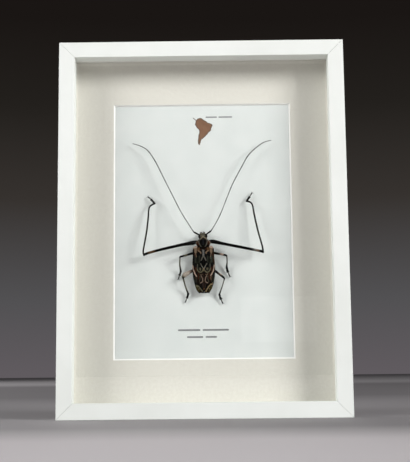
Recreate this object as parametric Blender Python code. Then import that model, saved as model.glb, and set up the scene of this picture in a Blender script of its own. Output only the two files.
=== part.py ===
# A harlequin beetle mounted on a card behind a mat, in a deep white box frame.
# Metres, +Z up. The frame stands on its bottom edge and its face looks along -Y.
# The origin is under the middle of the frame, on the surface that it stands on.

import math

import bmesh
import bpy
from mathutils import Matrix, Vector

# The frame takes a 300 x 400 mm pane
PANE_WIDTH = 0.300
PANE_HEIGHT = 0.400
PANE_PLAY = 0.0005
PANE_THICKNESS = 0.002
WALL = 0.0095
LIP_WIDTH = 0.0175
LIP_DEPTH = 0.016
FRAME_DEPTH = 0.045
SOFT_EDGE = 0.0008
MITRE_GAP = 0.00015
GAP = 0.0003

# What lies behind the pane, as depths behind the frame's face
SPACER = 0.003
MAT_FRONT = 0.0365
MAT_THICKNESS = 0.0016
WINDOW_WIDTH = 0.1998
WINDOW_HEIGHT = 0.2892
CARD_FRONT = 0.0384
CARD_THICKNESS = 0.0008
BACKING_THICKNESS = 0.003

# Fastenings on the back
TAB_LENGTH = 0.016
TAB_WIDTH = 0.007
TAB_THICKNESS = 0.0006
TAB_SHOULDER = 0.6
TAB_POINT = 0.35
TABS_UP = 3
TABS_ACROSS = 2
HANGER_WIDTH = 0.045
HANGER_HEIGHT = 0.011
HANGER_THICKNESS = 0.001
HANGER_FOOT = 0.0063
HANGER_TEETH = 9
TOOTH_DEPTH = 0.0022
HANGER_DROP = 0.030

# Worked out from the sizes above
OUTER_WIDTH = PANE_WIDTH + 2 * PANE_PLAY + 2 * WALL
OUTER_HEIGHT = PANE_HEIGHT + 2 * PANE_PLAY + 2 * WALL
FACE_Y = -FRAME_DEPTH / 2
CENTRE_Z = OUTER_HEIGHT / 2
PANE_BACK = LIP_DEPTH + GAP + PANE_THICKNESS
BACKING_FRONT = CARD_FRONT + CARD_THICKNESS + GAP
BACKING_BACK = BACKING_FRONT + BACKING_THICKNESS

# The beetle, in millimetres: x to the right and z up from the middle of the frame,
# and h the height above the card
MM = 0.001
BODY_LEAN = math.radians(0.7)
BODY_PIVOT = (0.0, -12.0)
HEAD_TURN = math.radians(3.4)
SECTION_POINTS = 24
DAB_RADIUS = 5.0
DAB_TOP_RADIUS = 3.5
DAB_TOP = 1.3
DAB_Z = -34.0
TUBE_BEVEL = 2
LIMB_STEPS = 2
FLAGELLUM_STEPS = 3

# Rings along each body form, how square its section is, and how high its widest line lies
ELYTRA_SHAPE = (18, 2.7, 0.28)
UNDERSIDE_SHAPE = (12, 2.3, 0.8)
PRONOTUM_SHAPE = (10, 2.3, 0.5)
HEAD_SHAPE = (9, 2.3, 0.45)

# Each line along a body form: place down the body (z), half width, top and bottom
HEAD = ((-4.0, 2.7, 5.4, 1.6), (-5.4, 3.3, 8.0, 1.6), (-8.3, 4.7, 10.4, 1.9), (-10.6, 4.5, 10.9, 2.4),
        (-12.8, 4.6, 10.8, 2.8))
PRONOTUM = ((-11.7, 5.3, 10.9, 2.8), (-13.2, 6.7, 11.9, 2.4), (-16.6, 8.1, 12.7, 2.2), (-19.4, 7.4, 12.4, 2.2),
            (-21.2, 7.5, 11.8, 2.4))
ELYTRA = ((-20.4, 10.6, 10.9, 5.2), (-22.0, 11.7, 12.2, 4.9), (-33.0, 12.2, 13.3, 4.6), (-45.6, 12.8, 13.3, 4.6),
          (-54.6, 12.1, 12.6, 4.7), (-63.5, 10.3, 11.0, 4.9), (-68.0, 8.5, 9.8, 5.1), (-72.8, 5.8, 8.3, 5.4))
UNDERSIDE = ((-20.6, 8.6, 8.0, 2.2), (-26.0, 10.0, 8.0, 1.6), (-40.0, 10.6, 8.0, 1.6), (-52.0, 9.6, 8.0, 2.0),
             (-63.0, 7.4, 7.6, 3.0), (-70.4, 4.6, 7.0, 4.2))

# Each leg runs femur, tibia, tarsus, and each point is x, z, h and radius
FORE_RIGHT = (
    ((6.5, -14.3, 6.5, 1.8), (12.0, -15.0, 9.5, 2.3), (24.0, -17.9, 11.6, 1.68), (45.0, -22.5, 13.2, 1.62),
     (61.0, -26.0, 14.0, 1.42), (66.9, -27.3, 14.2, 1.65)),
    ((66.9, -27.7, 14.0, 1.1), (66.2, -21.0, 13.6, 0.95), (62.1, -4.9, 12.0, 0.98), (58.3, 13.8, 9.5, 0.98),
     (56.6, 25.2, 7.5, 0.92), (54.4, 29.8, 6.3, 0.88), (49.9, 31.6, 5.2, 0.98)),
    ((49.7, 31.3, 5.0, 0.6), (51.2, 33.6, 4.3, 0.9), (53.0, 36.4, 3.8, 0.85), (54.2, 38.2, 3.6, 0.45),
     (56.1, 41.2, 2.8, 0.55)),
)
FORE_LEFT = (
    ((-6.5, -14.3, 6.5, 1.8), (-13.0, -16.3, 9.8, 2.3), (-25.0, -18.6, 11.6, 1.75), (-45.0, -23.2, 13.2, 1.58),
     (-60.0, -27.1, 14.0, 1.43), (-66.0, -29.3, 14.2, 1.6)),
    ((-66.2, -29.7, 14.0, 1.0), (-67.0, -24.5, 13.8, 0.9), (-63.6, -4.6, 12.0, 0.96), (-61.7, 12.9, 9.5, 0.95),
     (-61.2, 21.9, 7.8, 0.85), (-59.5, 26.9, 6.5, 0.88), (-54.7, 30.1, 5.2, 0.98)),
    ((-54.5, 29.8, 5.0, 0.6), (-56.5, 32.4, 4.3, 0.95), (-58.6, 34.8, 3.8, 0.9), (-60.0, 36.2, 3.5, 0.45),
     (-62.2, 38.1, 2.8, 0.55)),
)
MID_RIGHT = (
    ((7.0, -27.2, 4.0, 1.3), (11.4, -27.4, 6.0, 1.35), (18.6, -28.9, 9.0, 1.25), (26.3, -30.9, 11.0, 1.15)),
    ((26.3, -31.3, 10.8, 0.82), (26.7, -37.0, 8.0, 0.7), (26.2, -43.2, 4.4, 1.0)),
    ((26.2, -42.7, 4.7, 0.7), (26.8, -46.6, 3.4, 1.0), (28.0, -49.6, 2.8, 0.95), (28.5, -51.2, 2.5, 0.5),
     (29.7, -53.6, 2.2, 0.6)),
)
MID_LEFT = (
    ((-7.0, -26.5, 4.0, 1.4), (-11.9, -27.5, 6.0, 1.45), (-19.0, -29.8, 9.0, 1.15), (-26.2, -31.9, 11.0, 1.1)),
    ((-26.1, -32.3, 10.8, 0.85), (-26.5, -40.0, 8.0, 0.85), (-25.5, -47.4, 4.4, 1.05)),
    ((-25.3, -46.8, 4.7, 0.7), (-26.3, -50.2, 3.4, 0.95), (-27.2, -52.4, 2.8, 0.9), (-27.6, -53.8, 2.5, 0.5),
     (-28.1, -55.9, 2.2, 0.6)),
)
HIND_RIGHT = (
    ((8.0, -44.6, 4.0, 1.3), (12.8, -47.5, 5.8, 1.4), (18.2, -51.8, 8.2, 1.35), (23.6, -56.3, 10.0, 1.2)),
    ((23.4, -56.9, 9.8, 0.82), (20.7, -65.9, 7.0, 0.68), (17.5, -74.3, 4.2, 0.95)),
    ((17.6, -73.7, 4.5, 0.7), (18.5, -77.5, 3.3, 1.0), (19.8, -80.0, 2.8, 0.95), (20.2, -81.4, 2.5, 0.5),
     (21.2, -83.7, 2.2, 0.6)),
)
HIND_LEFT = (
    ((-8.0, -45.1, 4.0, 1.2), (-12.8, -47.4, 5.8, 1.5), (-17.4, -49.8, 7.6, 2.0), (-20.8, -52.1, 9.0, 2.3),
     (-22.5, -54.3, 9.8, 1.7), (-22.9, -55.7, 10.0, 1.1)),
    ((-22.7, -55.9, 9.8, 0.9), (-20.5, -64.5, 7.0, 0.78), (-17.4, -72.9, 4.2, 1.0)),
    ((-17.2, -72.3, 4.5, 0.7), (-18.2, -76.0, 3.3, 0.95), (-19.2, -78.3, 2.8, 0.9), (-19.7, -79.7, 2.5, 0.5),
     (-20.5, -81.8, 2.2, 0.6)),
)
LEGS = (FORE_RIGHT, FORE_LEFT, MID_RIGHT, MID_LEFT, HIND_RIGHT, HIND_LEFT)

# Antennae, scape and then flagellum, in the same way
ANTENNA_RIGHT = (
    ((2.2, -7.4, 9.2, 0.9), (5.0, -5.7, 10.4, 0.85), (9.0, -2.9, 11.4, 1.05)),
    ((8.9, -3.2, 11.4, 0.5), (18.3, 12.6, 12.4, 0.48), (27.8, 35.5, 12.0, 0.46), (34.2, 50.8, 11.2, 0.47),
     (44.2, 69.5, 10.0, 0.52), (52.0, 83.2, 9.0, 0.54), (61.2, 92.5, 8.0, 0.48), (70.3, 99.1, 7.0, 0.42),
     (79.2, 101.8, 6.0, 0.36)),
)
ANTENNA_LEFT = (
    ((-3.2, -7.6, 9.2, 0.9), (-6.0, -6.3, 10.4, 0.85), (-10.3, -4.1, 11.4, 1.05)),
    ((-10.2, -4.4, 11.4, 0.5), (-23.8, 17.6, 12.4, 0.48), (-32.8, 35.4, 12.0, 0.46), (-43.7, 57.8, 11.2, 0.5),
     (-52.8, 76.5, 10.0, 0.54), (-61.4, 90.0, 9.0, 0.5), (-69.2, 95.7, 8.0, 0.44), (-79.7, 99.7, 6.0, 0.36)),
)
ANTENNAE = (ANTENNA_RIGHT, ANTENNA_LEFT)

# Eyes and the spines of thorax and shoulders: x, z, h, and their sizes
EYE = (3.9, -8.5, 8.2)
EYE_SIZE = (1.5, 1.7, 2.4)
THORAX_SPINE = (6.0, -15.9, 9.0)
THORAX_SPINE_REACH = 4.0
THORAX_SPINE_RADIUS = 1.9
SHOULDER_SPINE = (9.0, -22.4, 9.4)
SHOULDER_SPINE_REACH = 3.1
SHOULDER_SPINE_RADIUS = 1.5
SPINE_POINT = 0.25

JOINT_SWELL = 1.25
ROUND_STEPS = 3
EYE_SEGMENTS = 12
JOINT_SEGMENTS = 8


def clear_scene():
    for item in list(bpy.data.objects):
        bpy.data.objects.remove(item, do_unlink=True)


def new_collection(name, rendered=True):
    collection = bpy.data.collections.new(name)
    collection.hide_render = not rendered
    bpy.context.scene.collection.children.link(collection)
    return collection


def principled(name, colour, roughness, metallic=0.0, transmission=0.0):
    material = bpy.data.materials.new(name)
    material.use_nodes = True
    shader = material.node_tree.nodes["Principled BSDF"]
    shader.inputs["Base Color"].default_value = (*colour, 1.0)
    shader.inputs["Roughness"].default_value = roughness
    shader.inputs["Metallic"].default_value = metallic
    shader.inputs["Transmission Weight"].default_value = transmission
    material.diffuse_color = (*colour, 1.0)
    return material


def add_object(name, mesh, collection, material=None):
    item = bpy.data.objects.new(name, mesh)
    collection.objects.link(item)
    if material:
        mesh.materials.append(material)
    return item


def mesh_from(bm, name):
    mesh = bpy.data.meshes.new(name)
    bmesh.ops.recalc_face_normals(bm, faces=bm.faces)
    bm.to_mesh(mesh)
    bm.free()
    return mesh


def board(name, width, height, front, thickness, collection, material, centre=(0.0, CENTRE_Z)):
    """A flat sheet facing -Y, with its front at a depth behind the frame's face."""
    bm = bmesh.new()
    bmesh.ops.create_cube(bm, size=1.0, matrix=Matrix.Diagonal((width, thickness, height, 1.0)))
    item = add_object(name, mesh_from(bm, name), collection, material)
    item.location = (centre[0], FACE_Y + front + thickness / 2, centre[1])
    return item


def rounded_outline(corners):
    """Turns (x, y, radius) corners into outline points, with an arc at each rounded corner."""
    points = []
    count = len(corners)
    for index, (x, y, radius) in enumerate(corners):
        here = Vector((x, y))
        if radius == 0:
            points.append(here)
            continue
        before = (Vector(corners[index - 1][:2]) - here).normalized()
        after = (Vector(corners[(index + 1) % count][:2]) - here).normalized()
        middle = here + (before + after) * radius
        for step in range(ROUND_STEPS + 1):
            turn = step / ROUND_STEPS * math.pi / 2
            points.append(middle - after * radius * math.cos(turn) - before * radius * math.sin(turn))
    return points


def extruded(name, points, length):
    """A mesh made from a filled 2D outline drawn in XY and extruded along Z, centred."""
    curve = bpy.data.curves.new(name, "CURVE")
    curve.dimensions = "2D"
    curve.fill_mode = "BOTH"
    curve.extrude = length / 2
    spline = curve.splines.new("POLY")
    spline.points.add(len(points) - 1)
    for point, place in zip(spline.points, points):
        point.co = (place[0], place[1], 0.0, 1.0)
    spline.use_cyclic_u = True
    return solid_mesh(name, curve)


def solid_mesh(name, curve):
    """Makes a curve into a closed mesh, with its caps welded on."""
    guide = bpy.data.objects.new(name + "_guide", curve)
    bpy.context.scene.collection.objects.link(guide)
    graph = bpy.context.evaluated_depsgraph_get()
    mesh = bpy.data.meshes.new_from_object(guide.evaluated_get(graph), depsgraph=graph)
    bpy.data.objects.remove(guide, do_unlink=True)
    bm = bmesh.new()
    bm.from_mesh(mesh)
    bpy.data.meshes.remove(mesh)
    bmesh.ops.remove_doubles(bm, verts=bm.verts, dist=1e-6)
    return mesh_from(bm, name)


def moulding(name, length, turn, centre, collection, material):
    """One mitred length of the frame, upright: an outer wall with a lip inwards from its front."""
    corners = (
        (0.0, 0.0, SOFT_EDGE),
        (LIP_WIDTH, 0.0, SOFT_EDGE / 2),
        (LIP_WIDTH, LIP_DEPTH, SOFT_EDGE / 2),
        (WALL, LIP_DEPTH, 0.0),
        (WALL, FRAME_DEPTH, 0.0),
        (0.0, FRAME_DEPTH, SOFT_EDGE / 2),
    )
    mesh = extruded(name, rounded_outline(corners), length)
    bm = bmesh.new()
    bm.from_mesh(mesh)
    for side in (-1, 1):
        cut = bmesh.ops.bisect_plane(
            bm,
            geom=bm.verts[:] + bm.edges[:] + bm.faces[:],
            plane_co=(0.0, 0.0, side * (length / 2 - MITRE_GAP)),
            plane_no=(1.0, 0.0, side),
            clear_outer=True,
        )
        rim = [part for part in cut["geom_cut"] if isinstance(part, bmesh.types.BMEdge)]
        bmesh.ops.edgeloop_fill(bm, edges=rim)
    bmesh.ops.recalc_face_normals(bm, faces=bm.faces)
    bm.to_mesh(mesh)
    bm.free()
    item = add_object(name, mesh, collection, material)
    item.matrix_world = Matrix.Translation(centre) @ Matrix.Rotation(turn, 4, "Y")
    return item


def build_frame(collection):
    lacquer = principled("white_lacquer", (0.80, 0.82, 0.78), 0.35)
    half_width = OUTER_WIDTH / 2
    half_height = OUTER_HEIGHT / 2
    sides = (
        ("stile_left", OUTER_HEIGHT, 0.0, (-half_width, 0.0)),
        ("rail_top", OUTER_WIDTH, math.pi / 2, (0.0, half_height)),
        ("stile_right", OUTER_HEIGHT, math.pi, (half_width, 0.0)),
        ("rail_bottom", OUTER_WIDTH, -math.pi / 2, (0.0, -half_height)),
    )
    for name, length, turn, (x, z) in sides:
        moulding(name, length, turn, Vector((x, FACE_Y, CENTRE_Z + z)), collection, lacquer)


def build_pane(collection):
    glass = principled("glass", (0.95, 0.97, 0.96), 0.02, transmission=1.0)
    board("glass", PANE_WIDTH, PANE_HEIGHT, LIP_DEPTH + GAP, PANE_THICKNESS, collection, glass)


def build_spacers(collection):
    """Four strips that hold the pane away from the mat, set back behind the lip."""
    foam = principled("spacer_board", (0.78, 0.77, 0.72), 0.7)
    depth = MAT_FRONT - PANE_BACK - 2 * GAP
    inside_width = OUTER_WIDTH - 2 * WALL - 2 * GAP
    inside_height = OUTER_HEIGHT - 2 * WALL - 2 * GAP
    across = inside_width - 2 * SPACER - 2 * GAP
    shift_x = (inside_width - SPACER) / 2
    shift_z = (inside_height - SPACER) / 2
    for name, side in (("spacer_left", -1), ("spacer_right", 1)):
        board(name, SPACER, inside_height, PANE_BACK + GAP, depth, collection, foam, (side * shift_x, CENTRE_Z))
    for name, side in (("spacer_bottom", -1), ("spacer_top", 1)):
        board(name, across, SPACER, PANE_BACK + GAP, depth, collection, foam, (0.0, CENTRE_Z + side * shift_z))


def build_mat(collection, cutters):
    """The mat, whose window has edges cut at 45 degrees."""
    paper = principled("mat_board", (0.74, 0.72, 0.64), 0.85)
    mat = board("mat", PANE_WIDTH, PANE_HEIGHT, MAT_FRONT, MAT_THICKNESS, collection, paper)
    past = MAT_THICKNESS / 2
    bm = bmesh.new()
    bmesh.ops.create_cube(bm, size=1.0)
    for vert in bm.verts:
        at_front = vert.co.y < 0
        grow = MAT_THICKNESS + past if at_front else -past
        vert.co.x *= WINDOW_WIDTH + 2 * grow
        vert.co.z *= WINDOW_HEIGHT + 2 * grow
        vert.co.y *= MAT_THICKNESS + 2 * past
    window = add_object("window_cutter", mesh_from(bm, "window_cutter"), cutters)
    window.location = mat.location
    window.display_type = "WIRE"
    cut = mat.modifiers.new("window", "BOOLEAN")
    cut.operation = "DIFFERENCE"
    cut.object = window


def build_back(collection):
    """The card, the backing board and what holds the board in."""
    card = principled("card", (0.76, 0.79, 0.76), 0.8)
    fibreboard = principled("fibreboard", (0.36, 0.24, 0.14), 0.75)
    steel = principled("zinc_steel", (0.60, 0.60, 0.58), 0.4, metallic=1.0)
    board("card", PANE_WIDTH, PANE_HEIGHT, CARD_FRONT, CARD_THICKNESS, collection, card)
    board("backing_board", PANE_WIDTH, PANE_HEIGHT, BACKING_FRONT, BACKING_THICKNESS, collection, fibreboard)
    build_tabs(collection, steel)
    build_hanger(collection, steel)


def tab_outline():
    """A flat point: square where it leaves the wall, tapered at its end."""
    half = TAB_WIDTH / 2
    shoulder = TAB_LENGTH * TAB_SHOULDER
    point = half * TAB_POINT
    return [(0.0, -half), (shoulder, -half), (TAB_LENGTH, -point),
            (TAB_LENGTH, point), (shoulder, half), (0.0, half)]


def build_tabs(collection, steel):
    flat = extruded("retaining_tab", tab_outline(), TAB_THICKNESS)
    flat.materials.append(steel)
    reach_x = OUTER_WIDTH / 2 - WALL - GAP
    reach_z = OUTER_HEIGHT / 2 - WALL - GAP
    places = []
    for row in range(TABS_UP):
        z = PANE_HEIGHT * (row - (TABS_UP - 1) / 2) / TABS_UP
        places += [(-reach_x, z, 0.0), (reach_x, z, math.pi)]
    for column in range(TABS_ACROSS):
        x = PANE_WIDTH * (column - (TABS_ACROSS - 1) / 2) / TABS_ACROSS
        places += [(x, -reach_z, -math.pi / 2), (x, reach_z, math.pi / 2)]
    lay_flat = Matrix.Rotation(math.pi / 2, 4, "X")
    y = FACE_Y + BACKING_BACK + GAP + TAB_THICKNESS / 2
    for number, (x, z, turn) in enumerate(places, 1):
        tab = bpy.data.objects.new(f"retaining_tab_{number:02d}", flat)
        collection.objects.link(tab)
        tab.matrix_world = Matrix.Translation((x, y, CENTRE_Z + z)) @ Matrix.Rotation(turn, 4, "Y") @ lay_flat


def build_hanger(collection, steel):
    """A toothed hanging plate near the top of the backing board."""
    half = HANGER_WIDTH / 2
    pitch = (HANGER_WIDTH - 2 * HANGER_FOOT) / HANGER_TEETH
    outline = [(-half, 0.0), (-half, HANGER_HEIGHT), (half, HANGER_HEIGHT), (half, 0.0),
               (half - HANGER_FOOT, 0.0)]
    for tooth in range(HANGER_TEETH):
        x = half - HANGER_FOOT - tooth * pitch
        outline.append((x - pitch / 2, TOOTH_DEPTH))
        outline.append((x - pitch, 0.0))
    flat = extruded("sawtooth_hanger", outline, HANGER_THICKNESS)
    plate = add_object("sawtooth_hanger", flat, collection, steel)
    y = FACE_Y + BACKING_BACK + GAP + HANGER_THICKNESS / 2
    z = CENTRE_Z + PANE_HEIGHT / 2 - HANGER_DROP
    plate.matrix_world = Matrix.Translation((0.0, y, z)) @ Matrix.Rotation(math.pi / 2, 4, "X")


def on_card(x, z, h):
    """A place given in the beetle's millimetres, in the frame's metres."""
    return Vector((x * MM, FACE_Y + CARD_FRONT - h * MM, CENTRE_Z + z * MM))


def along(rows, place):
    """Reads a smooth line through rows of (place, value, value, ...), places in order downwards."""
    last = len(rows) - 1
    place = min(max(place, rows[last][0]), rows[0][0])
    index = 0
    while index < last - 1 and place < rows[index + 1][0]:
        index += 1
    start, end = rows[index], rows[index + 1]
    span = end[0] - start[0]
    t = (place - start[0]) / span
    before = rows[max(index - 1, 0)]
    after = rows[min(index + 2, last)]
    values = []
    for column in range(1, len(start)):
        slope_in = (end[column] - before[column]) / (end[0] - before[0]) * span
        slope_out = (after[column] - start[column]) / (after[0] - start[0]) * span
        values.append(
            start[column] * (2 * t**3 - 3 * t**2 + 1)
            + slope_in * (t**3 - 2 * t**2 + t)
            + end[column] * (3 * t**2 - 2 * t**3)
            + slope_out * (t**3 - t**2)
        )
    return values


def lean(x, z, angle=BODY_LEAN):
    """Turns a place on the body about its pivot."""
    dx = x - BODY_PIVOT[0]
    dz = z - BODY_PIVOT[1]
    return (BODY_PIVOT[0] + dx * math.cos(angle) - dz * math.sin(angle),
            BODY_PIVOT[1] + dx * math.sin(angle) + dz * math.cos(angle))


def signed_power(value, power):
    return math.copysign(abs(value) ** power, value)


def body_form(name, rows, shape, angle=BODY_LEAN):
    """A rounded form along the body, from a sphere whose rings take the rows' widths and heights."""
    rings, squareness, waist = shape
    bm = bmesh.new()
    bmesh.ops.create_uvsphere(bm, u_segments=SECTION_POINTS, v_segments=rings, radius=1.0)
    top_z = rows[0][0]
    length = top_z - rows[-1][0]
    power = 2 / squareness
    for vert in bm.verts:
        ring = math.acos(max(-1.0, min(1.0, vert.co.z))) / math.pi * rings
        t = min(max((ring - 1) / (rings - 2), 0.0), 1.0)
        z = top_z - t * length
        half_width, top, bottom = along(rows, z)
        flat = math.hypot(vert.co.x, vert.co.y)
        if flat < 1e-4:
            across, rise = 0.0, 0.0
        else:
            across = signed_power(vert.co.x / flat, power)
            rise = signed_power(vert.co.y / flat, power)
        middle = bottom + (top - bottom) * waist
        h = middle + rise * (top - middle if rise > 0 else middle - bottom)
        x, z = lean(across * half_width, z, angle)
        vert.co = on_card(x, z, h)
    mesh = mesh_from(bm, name)
    mesh.shade_smooth()
    return mesh


def smooth_points(points, steps):
    """Points on a smooth curve through the given ones."""
    found = []
    last = len(points) - 1
    for index in range(last):
        p0 = Vector(points[max(index - 1, 0)])
        p1 = Vector(points[index])
        p2 = Vector(points[index + 1])
        p3 = Vector(points[min(index + 2, last)])
        for step in range(steps):
            t = step / steps
            found.append(
                0.5 * (2 * p1 + (p2 - p0) * t + (2 * p0 - 5 * p1 + 4 * p2 - p3) * t**2
                       + (3 * p1 - p0 - 3 * p2 + p3) * t**3)
            )
    found.append(Vector(points[last]))
    return found


def limb(name, points, steps):
    """A tapered tube through points of x, z, h and radius."""
    path = smooth_points(points, steps)
    curve = bpy.data.curves.new(name, "CURVE")
    curve.dimensions = "3D"
    curve.bevel_depth = MM
    curve.bevel_resolution = TUBE_BEVEL
    curve.use_fill_caps = True
    spline = curve.splines.new("POLY")
    spline.points.add(len(path) - 1)
    for point, (x, z, h, radius) in zip(spline.points, path):
        point.co = (*on_card(x, z, h), 1.0)
        point.radius = radius
    return solid_mesh(name, curve)


def ball(name, centre, size, segments=EYE_SEGMENTS):
    """A small rounded lump, such as an eye: half sizes across, along and up."""
    bm = bmesh.new()
    bmesh.ops.create_uvsphere(bm, u_segments=segments, v_segments=segments * 2 // 3, radius=1.0)
    for vert in bm.verts:
        vert.co = on_card(centre[0] + vert.co.x * size[0], centre[1] + vert.co.y * size[1],
                          centre[2] + vert.co.z * size[2])
    return mesh_from(bm, name)


def spine(name, side, root, reach, radius):
    """A pointed tubercle that stands out sideways from the body."""
    bm = bmesh.new()
    bmesh.ops.create_cone(bm, cap_ends=True, segments=EYE_SEGMENTS, radius1=radius, radius2=radius * SPINE_POINT,
                          depth=reach)
    for vert in bm.verts:
        out = vert.co.z + reach / 2
        x, z = lean(side * (root[0] + out), root[1] + vert.co.x)
        vert.co = on_card(x, z, root[2] + vert.co.y)
    return mesh_from(bm, name)


def build_beetle(collection, cutters):
    """The whole insect as one solid: its forms, legs and antennae joined."""
    chitin = principled("beetle", (0.05, 0.035, 0.025), 0.5)
    head_angle = BODY_LEAN + HEAD_TURN
    trunk = body_form("beetle", ELYTRA, ELYTRA_SHAPE)
    forms = [
        body_form("underside", UNDERSIDE, UNDERSIDE_SHAPE),
        body_form("pronotum", PRONOTUM, PRONOTUM_SHAPE),
        body_form("head", HEAD, HEAD_SHAPE, head_angle),
    ]
    for side in (-1, 1):
        eye_x, eye_z = lean(side * EYE[0], EYE[1], head_angle)
        forms.append(ball("eye", (eye_x, eye_z, EYE[2]), EYE_SIZE))
        forms.append(spine("thorax_spine", side, THORAX_SPINE, THORAX_SPINE_REACH, THORAX_SPINE_RADIUS))
        forms.append(spine("shoulder_spine", side, SHOULDER_SPINE, SHOULDER_SPINE_REACH, SHOULDER_SPINE_RADIUS))
    for leg in LEGS:
        for stretch in leg:
            forms.append(limb("leg", stretch, LIMB_STEPS))
        for joint in (leg[1][0], leg[1][-1]):
            size = (joint[3] * JOINT_SWELL,) * 3
            forms.append(ball("leg_joint", joint[:3], size, JOINT_SEGMENTS))
    for scape, flagellum in ANTENNAE:
        forms.append(limb("scape", scape, LIMB_STEPS))
        forms.append(limb("flagellum", flagellum, FLAGELLUM_STEPS))
    limbs = bpy.data.collections.new("beetle_forms")
    limbs.hide_render = True
    cutters.children.link(limbs)
    for form in forms:
        item = add_object(form.name, form, limbs)
        item.display_type = "WIRE"
    beetle = add_object("beetle", trunk, collection, chitin)
    join = beetle.modifiers.new("join", "BOOLEAN")
    join.operation = "UNION"
    join.operand_type = "COLLECTION"
    join.collection = limbs
    join.solver = "EXACT"


def build_glue(collection):
    """A dab of glue under the beetle, which holds it to the card."""
    resin = principled("glue", (0.75, 0.70, 0.55), 0.3)
    bm = bmesh.new()
    bmesh.ops.create_cone(bm, cap_ends=True, segments=SECTION_POINTS, radius1=DAB_RADIUS * MM,
                          radius2=DAB_TOP_RADIUS * MM, depth=DAB_TOP * MM - GAP)
    dab = add_object("glue_dab", mesh_from(bm, "glue_dab"), collection, resin)
    dab.rotation_euler = (math.pi / 2, 0.0, 0.0)
    x, z = lean(0.0, DAB_Z)
    dab.location = on_card(x, z, (DAB_TOP + GAP / MM) / 2)


def main():
    clear_scene()
    specimen = new_collection("framed_beetle")
    cutters = new_collection("cutters", rendered=False)
    build_frame(specimen)
    build_pane(specimen)
    build_spacers(specimen)
    build_mat(specimen, cutters)
    build_back(specimen)
    build_beetle(specimen, cutters)
    build_glue(specimen)


main()
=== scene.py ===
# Looks of the framed beetle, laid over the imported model.
# Metres, +Z up. The beetle and the print are measured in millimetres from the middle of the frame:
# x to the right, z up, and h the height above the card.
import math

import bmesh
import bpy
import numpy as np
from mathutils import Matrix, Vector


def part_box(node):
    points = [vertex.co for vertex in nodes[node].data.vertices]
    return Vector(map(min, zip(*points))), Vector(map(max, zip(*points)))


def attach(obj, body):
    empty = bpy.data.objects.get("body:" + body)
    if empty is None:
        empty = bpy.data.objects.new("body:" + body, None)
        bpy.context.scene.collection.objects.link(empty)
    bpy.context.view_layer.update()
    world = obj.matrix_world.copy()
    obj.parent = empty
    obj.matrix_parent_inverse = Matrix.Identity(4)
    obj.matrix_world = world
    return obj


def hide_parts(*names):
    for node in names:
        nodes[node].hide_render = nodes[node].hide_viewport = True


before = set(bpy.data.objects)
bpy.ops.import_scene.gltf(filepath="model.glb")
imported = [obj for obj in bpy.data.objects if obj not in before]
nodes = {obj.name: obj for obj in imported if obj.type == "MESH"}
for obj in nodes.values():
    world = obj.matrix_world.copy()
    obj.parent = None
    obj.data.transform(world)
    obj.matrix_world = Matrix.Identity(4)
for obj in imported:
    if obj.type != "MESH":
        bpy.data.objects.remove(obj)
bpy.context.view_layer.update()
print("loaded", len(nodes), "solids")

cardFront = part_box("card")[0].y
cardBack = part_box("card")[1].y
middleHeight = (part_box("glass")[0].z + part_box("glass")[1].z) / 2
perMetre = 1000  # millimetres in a metre


def paint(red, green, blue):  # a screen colour, 0 to 255, as linear light
    return tuple(v / 255 / 12.92 if v < 11 else ((v / 255 + 0.055) / 1.055) ** 2.4 for v in (red, green, blue))


def opaque(colour):
    return (*paint(*colour), 1.0)


def newFinish(name):
    made = bpy.data.materials.new(name)
    made.use_nodes = True
    return made, made.node_tree, made.node_tree.nodes["Principled BSDF"]


def put(tree, kind, inputs, **settings):  # adds a node; an input is a number or another node's output
    node = tree.nodes.new("ShaderNode" + kind)
    for name, value in settings.items():
        setattr(node, name, value)
    for name, value in inputs.items():
        if isinstance(value, bpy.types.NodeSocket):
            tree.links.new(value, node.inputs[name])
        else:
            node.inputs[name].default_value = value
    return node


def place(tree, stretch=(1, 1, 1)):  # where a point is on the piece, in metres
    where = put(tree, "TexCoord", {}).outputs["Object"]
    return put(tree, "Mapping", {"Vector": where, "Scale": stretch}).outputs["Vector"]


def grain(tree, where, size, detail=4, roughness=0.55):  # cloudy noise whose lumps are about size metres
    made = put(tree, "TexNoise", {"Vector": where, "Scale": 1 / size, "Detail": detail, "Roughness": roughness})
    return made.outputs["Fac"]


def between(tree, value, low, high, start=0.3, end=0.7):  # value from start to end becomes low to high
    made = put(tree, "MapRange", {"Value": value, "From Min": start, "From Max": end,
                                  "To Min": low, "To Max": high})
    return made.outputs["Result"]


def blendColours(tree, factor, first, second, how="MIX"):
    node = put(tree, "Mix", {}, data_type="RGBA", blend_type=how)
    for socket, value in ((node.inputs[0], factor), (node.inputs[6], first), (node.inputs[7], second)):
        if isinstance(value, bpy.types.NodeSocket):
            tree.links.new(value, socket)
        else:
            socket.default_value = value
    return node.outputs[2]


def ramp(tree, factor, stops):  # colours at places from 0 to 1
    node = put(tree, "ValToRGB", {"Fac": factor})
    while len(node.color_ramp.elements) < len(stops):
        node.color_ramp.elements.new(1.0)
    for element, (spot, colour) in zip(node.color_ramp.elements, stops):
        element.position = spot
        element.color = opaque(colour)
    return node.outputs["Color"]


def mottle(tree, first, second, start=0.15, end=0.38):  # two noises multiplied and spread over 0 to 1
    both = put(tree, "Math", {0: first, 1: second}, operation="MULTIPLY").outputs[0]
    return between(tree, both, 0, 1, start, end)


def dent(tree, height, strength, depth):
    return put(tree, "Bump", {"Height": height, "Strength": strength, "Distance": depth}).outputs["Normal"]


def dress(node, material):
    nodes[node].data.materials.clear()
    nodes[node].data.materials.append(material)


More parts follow.
